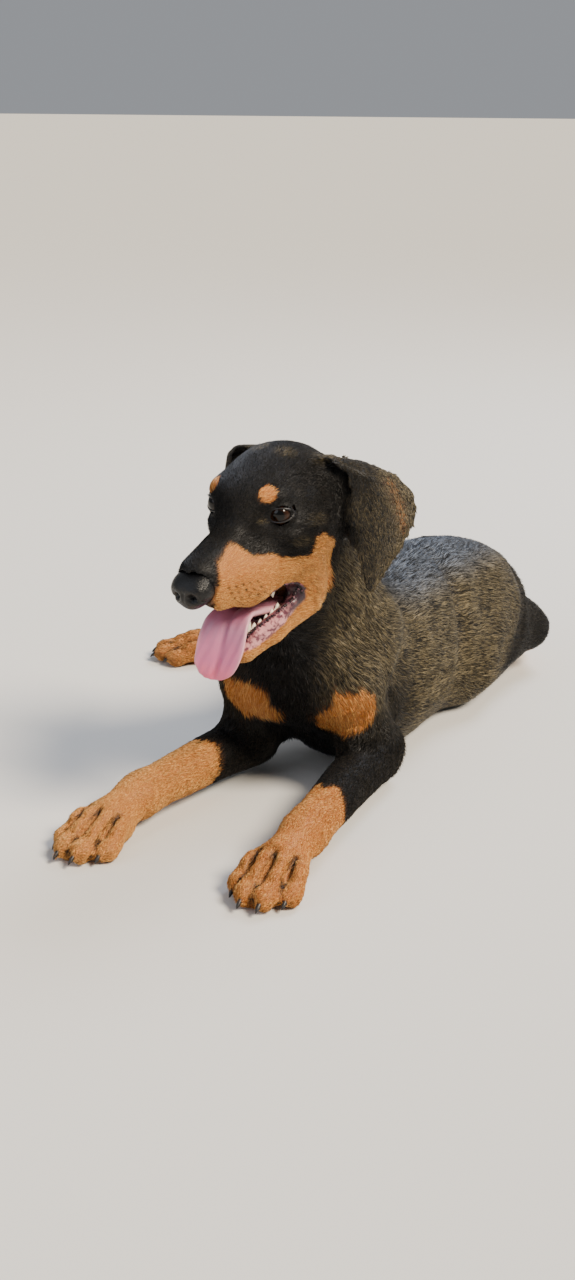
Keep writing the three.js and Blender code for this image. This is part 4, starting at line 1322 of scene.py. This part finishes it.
# Pale hairs in a few small patches on the face, and one patch of painted sheen below the eye.
def pale_hair_and_sheen_share(points):
    head = seen_from_head(points)
    one_side = np.abs(head) * [1, 0, 0] + head * [0, 1, 1]
    share = np.zeros(len(points))
    for centre, half, strength in PALE_HAIR_AND_SHEEN_PATCHES:
        share = np.maximum(share, strength * soft_step(1.3 - blob(one_side, centre, half), 0, 1))
    return share


draw = np.random.default_rng(TUFT_SEED)
co = points_of(skin.data)
normals = normals_of(skin.data)
evened = np.stack([
    worn_and_sheen_share(co, part_at), [HAIR_LENGTH.get(part, BODY_HAIR) for part in part_at],
], axis=1)
for _ in range(EVEN_ROUNDS):
    evened = neighbour_mean(evened, edges)
skin.data.calc_loop_triangles()
count = len(skin.data.loop_triangles)
corners = rows_of(skin.data.loop_triangles, "vertices", 3, np.int64)
loops = rows_of(skin.data.loop_triangles, "loops", 3, np.int64)
uv = rows_of(skin.data.uv_layers["OFBake"].uv, "vector", 2)
a, b, c = (co[corners[:, k]] for k in range(3))
# Tufts are spread evenly over each triangle, as many as its part and area ask for.
area_cm2 = np.linalg.norm(np.cross(b - a, c - a), axis=1) / 2 * 1e4
density = np.array([TUFTS_PER_CM2.get(part, BODY_TUFTS_PER_CM2) for part in part_at])[corners[:, 0]]
expected = area_cm2 * density
tufts = np.floor(expected + draw.uniform(size=count)).astype(int)
owner = np.repeat(np.arange(count), tufts)
r1, r2 = np.sqrt(draw.uniform(size=len(owner))), draw.uniform(size=len(owner))
shares = np.stack([1 - r1, r1 * (1 - r2), r1 * r2], axis=1)


def spread_over(values):
    return sum(values[corners[owner, k]] * shares[:, k:k + 1] for k in range(3))


root = spread_over(co)
root_normal = spread_over(normals)
root_normal /= np.linalg.norm(root_normal, axis=1, keepdims=True)
root_uv = sum(uv[loops[owner, k]] * shares[:, k:k + 1] for k in range(3))
root_part = part_at[corners[owner, 0]]
root_mouth = spread_over(mouth[:, None])[:, 0]
root_evened = spread_over(evened)
head_place = seen_from_head(root)

# The mouth, the eyes, the nose and what lies on the floor are bare.
bare = root_mouth > BARE_MOUTH
for centre in EYE_CENTRES.values():
    bare |= np.linalg.norm(root - centre, axis=1) < (EYEBALL + 0.6) * MM
bare |= blob(head_place, NOSE_PLACE, np.array(NOSE_HALF) + 0.5) < 1
bare |= root[:, 2] < NEAREST_FLOOR * MM
keep = ~bare
root, root_normal, root_uv = root[keep], root_normal[keep], root_uv[keep]
root_part, head_place = root_part[keep], head_place[keep]
worn, length = np.maximum(root_evened[keep, 0], pale_hair_and_sheen_share(root)), root_evened[keep, 1]
body_place = seen_from_body(root)

# Each tuft lies along the skin, swayed a little, and is shorter on the muzzle and round
# the eyes. Its tip is lifted, and its two lower corners are sunk in the skin.
lie = lie_at(root)
lie -= root_normal * np.einsum("ij,ij->i", lie, root_normal)[:, None]
lie /= np.linalg.norm(lie, axis=1, keepdims=True)
beside = np.cross(root_normal, lie)
number = len(root)
sway = draw.normal(0, SWAY, number) + SWAY * ripple(body_place, 14)
lie = lie * np.cos(sway)[:, None] + beside * np.sin(sway)[:, None]
beside = np.cross(root_normal, lie)
muzzle = np.isin(root_part, ["head", "jaw"]) * soft_step(head_place[:, 1], -10, 30)
from_eyes = [np.linalg.norm(root - centre, axis=1) / MM for centre in EYE_CENTRES.values()]
length *= 1 - MUZZLE_SHORTER * muzzle
length *= 0.45 + 0.55 * soft_step(np.min(from_eyes, axis=0), 11, LID_REACH)
length *= draw.uniform(0.7, 1.25, number)
width = 0.11 * length ** 0.8 + 0.28
lift = TUFT_LIFT * draw.uniform(0.45, 1.5, number) * np.where(root_part == "ear", 0.6, 1)
forward = lie * (length * np.cos(lift))[:, None] + root_normal * (length * np.sin(lift))[:, None]
tip = root + forward * MM
tip[:, 2] = np.maximum(tip[:, 2], LOWEST_TIP * MM)
left = root + (beside * width[:, None] / 2 - root_normal * TUFT_SINK) * MM
right = root - (beside * width[:, None] / 2 + root_normal * TUFT_SINK) * MM
top = root + (root_normal * TUFT_THICK - lie * 0.1) * MM
tone = tan_share(root, root_part)
tone = soft_step(tone + draw.normal(0, TONE_SCATTER, number) * tone * (1 - tone), 0.28, 0.72)
shade = draw.uniform(size=number) ** SHADE_POWER + 0.06 * ripple(body_place, 7)
# Painted light: tan tufts on the face and right foreleg get paler tips.
shade = np.clip(shade + tone * painted_lit_tan(root, root_part), 0, 1)
cool = painted_cool_sheen_share(root)

# Dog hair: each tuft is dark at its root and lighter at its tip. Black hair is grey brown
# along the flank, shoulder and ear, partly its own tinge and mostly painted sheen, and
# cool grey on top of the back as painted sheen; tan hair runs from rust to gold.
hair = new_material("dog_hair")
HAIR_VALUES = {"tone": tone, "shade": shade, "worn": worn, "cool": cool}
read = {
    name: node(hair, "ShaderNodeAttribute", attribute_name=name).outputs["Fac"]
    for name in (*HAIR_VALUES, "tip")
}
lightness = node(hair, "ShaderNodeMath", {0: read["shade"], 1: read["tip"]}, operation="MULTIPLY")
dark_hair = node(hair, "ShaderNodeMix", {
    "Factor": lightness.outputs["Value"], "A": linear("#040405"), "B": linear("#131318"),
}, data_type="RGBA")
# The painted sheens on black hair: grey brown, partly the coat's own tinge, and cool grey on the back.
for name, colour in (("worn", "#c0ae86"), ("cool", "#a4b0c2")):
    tips = node(hair, "ShaderNodeMath", {
        0: lightness.outputs["Value"], 1: read[name],
    }, operation="MULTIPLY")
    dark_hair = node(hair, "ShaderNodeMix", {
        "Factor": tips.outputs["Value"], "A": dark_hair.outputs["Result"], "B": linear(colour),
    }, data_type="RGBA")
tan_hair = node(hair, "ShaderNodeMix", {
    "Factor": lightness.outputs["Value"], "A": linear("#a8642a"), "B": linear("#ffcb7c"),
}, data_type="RGBA")
hair_colour = node(hair, "ShaderNodeMix", {
    "Factor": read["tone"], "A": dark_hair.outputs["Result"], "B": tan_hair.outputs["Result"],
}, data_type="RGBA")
finish_material(hair, node(hair, "ShaderNodeBsdfPrincipled", {
    "Base Color": hair_colour.outputs["Result"], "Roughness": 0.45, "Specular IOR Level": 0.25,
}))

# The coat is divided by parts of the body. Each tuft is a low closed shape of four
# corners, left, right, top and tip, and its patch is at its root's place on the unwrap.
TUFT_FACES = np.array([[0, 2, 1], [0, 1, 3], [1, 2, 3], [2, 0, 3]])
TUFT_PATCH = np.array([[-0.5, -0.5], [0.5, -0.5], [0, 0.5], [0, -0.15]]) * PATCH
TUFT_TIPS = [0.15, 0.15, 0.3, 1.0]
order = np.argsort(root_part, kind="stable")
for i, chosen in enumerate(np.array_split(order, COAT_PIECES)):
    n = len(chosen)
    points = np.stack([left[chosen], right[chosen], top[chosen], tip[chosen]], axis=1).reshape(-1, 3)
    faces = (np.arange(n)[:, None, None] * 4 + TUFT_FACES[None]).reshape(-1)
    mesh = bpy.data.meshes.new(f"coat_{i + 1}")
    mesh.vertices.add(n * 4)
    mesh.vertices.foreach_set("co", points.ravel())
    mesh.loops.add(n * 12)
    mesh.loops.foreach_set("vertex_index", faces)
    mesh.polygons.add(n * 4)
    mesh.polygons.foreach_set("loop_start", np.arange(0, n * 12, 3))
    mesh.update(calc_edges=True)
    mesh.validate()
    layer = mesh.uv_layers.new(name="OFBake")
    corner_uv = root_uv[chosen][:, None, :] + TUFT_PATCH[TUFT_FACES.ravel()][None]
    layer.uv.foreach_set("vector", np.clip(corner_uv, 0, 1).ravel())
    add_values(mesh, "tip", np.tile(TUFT_TIPS, n))
    for name, values in HAIR_VALUES.items():
        add_values(mesh, name, np.repeat(values[chosen], 4))
    coat = bpy.data.objects.new(f"coat_{i + 1}", mesh)
    scene.collection.objects.link(coat)
    mesh.materials.append(hair)
    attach(coat, "root")
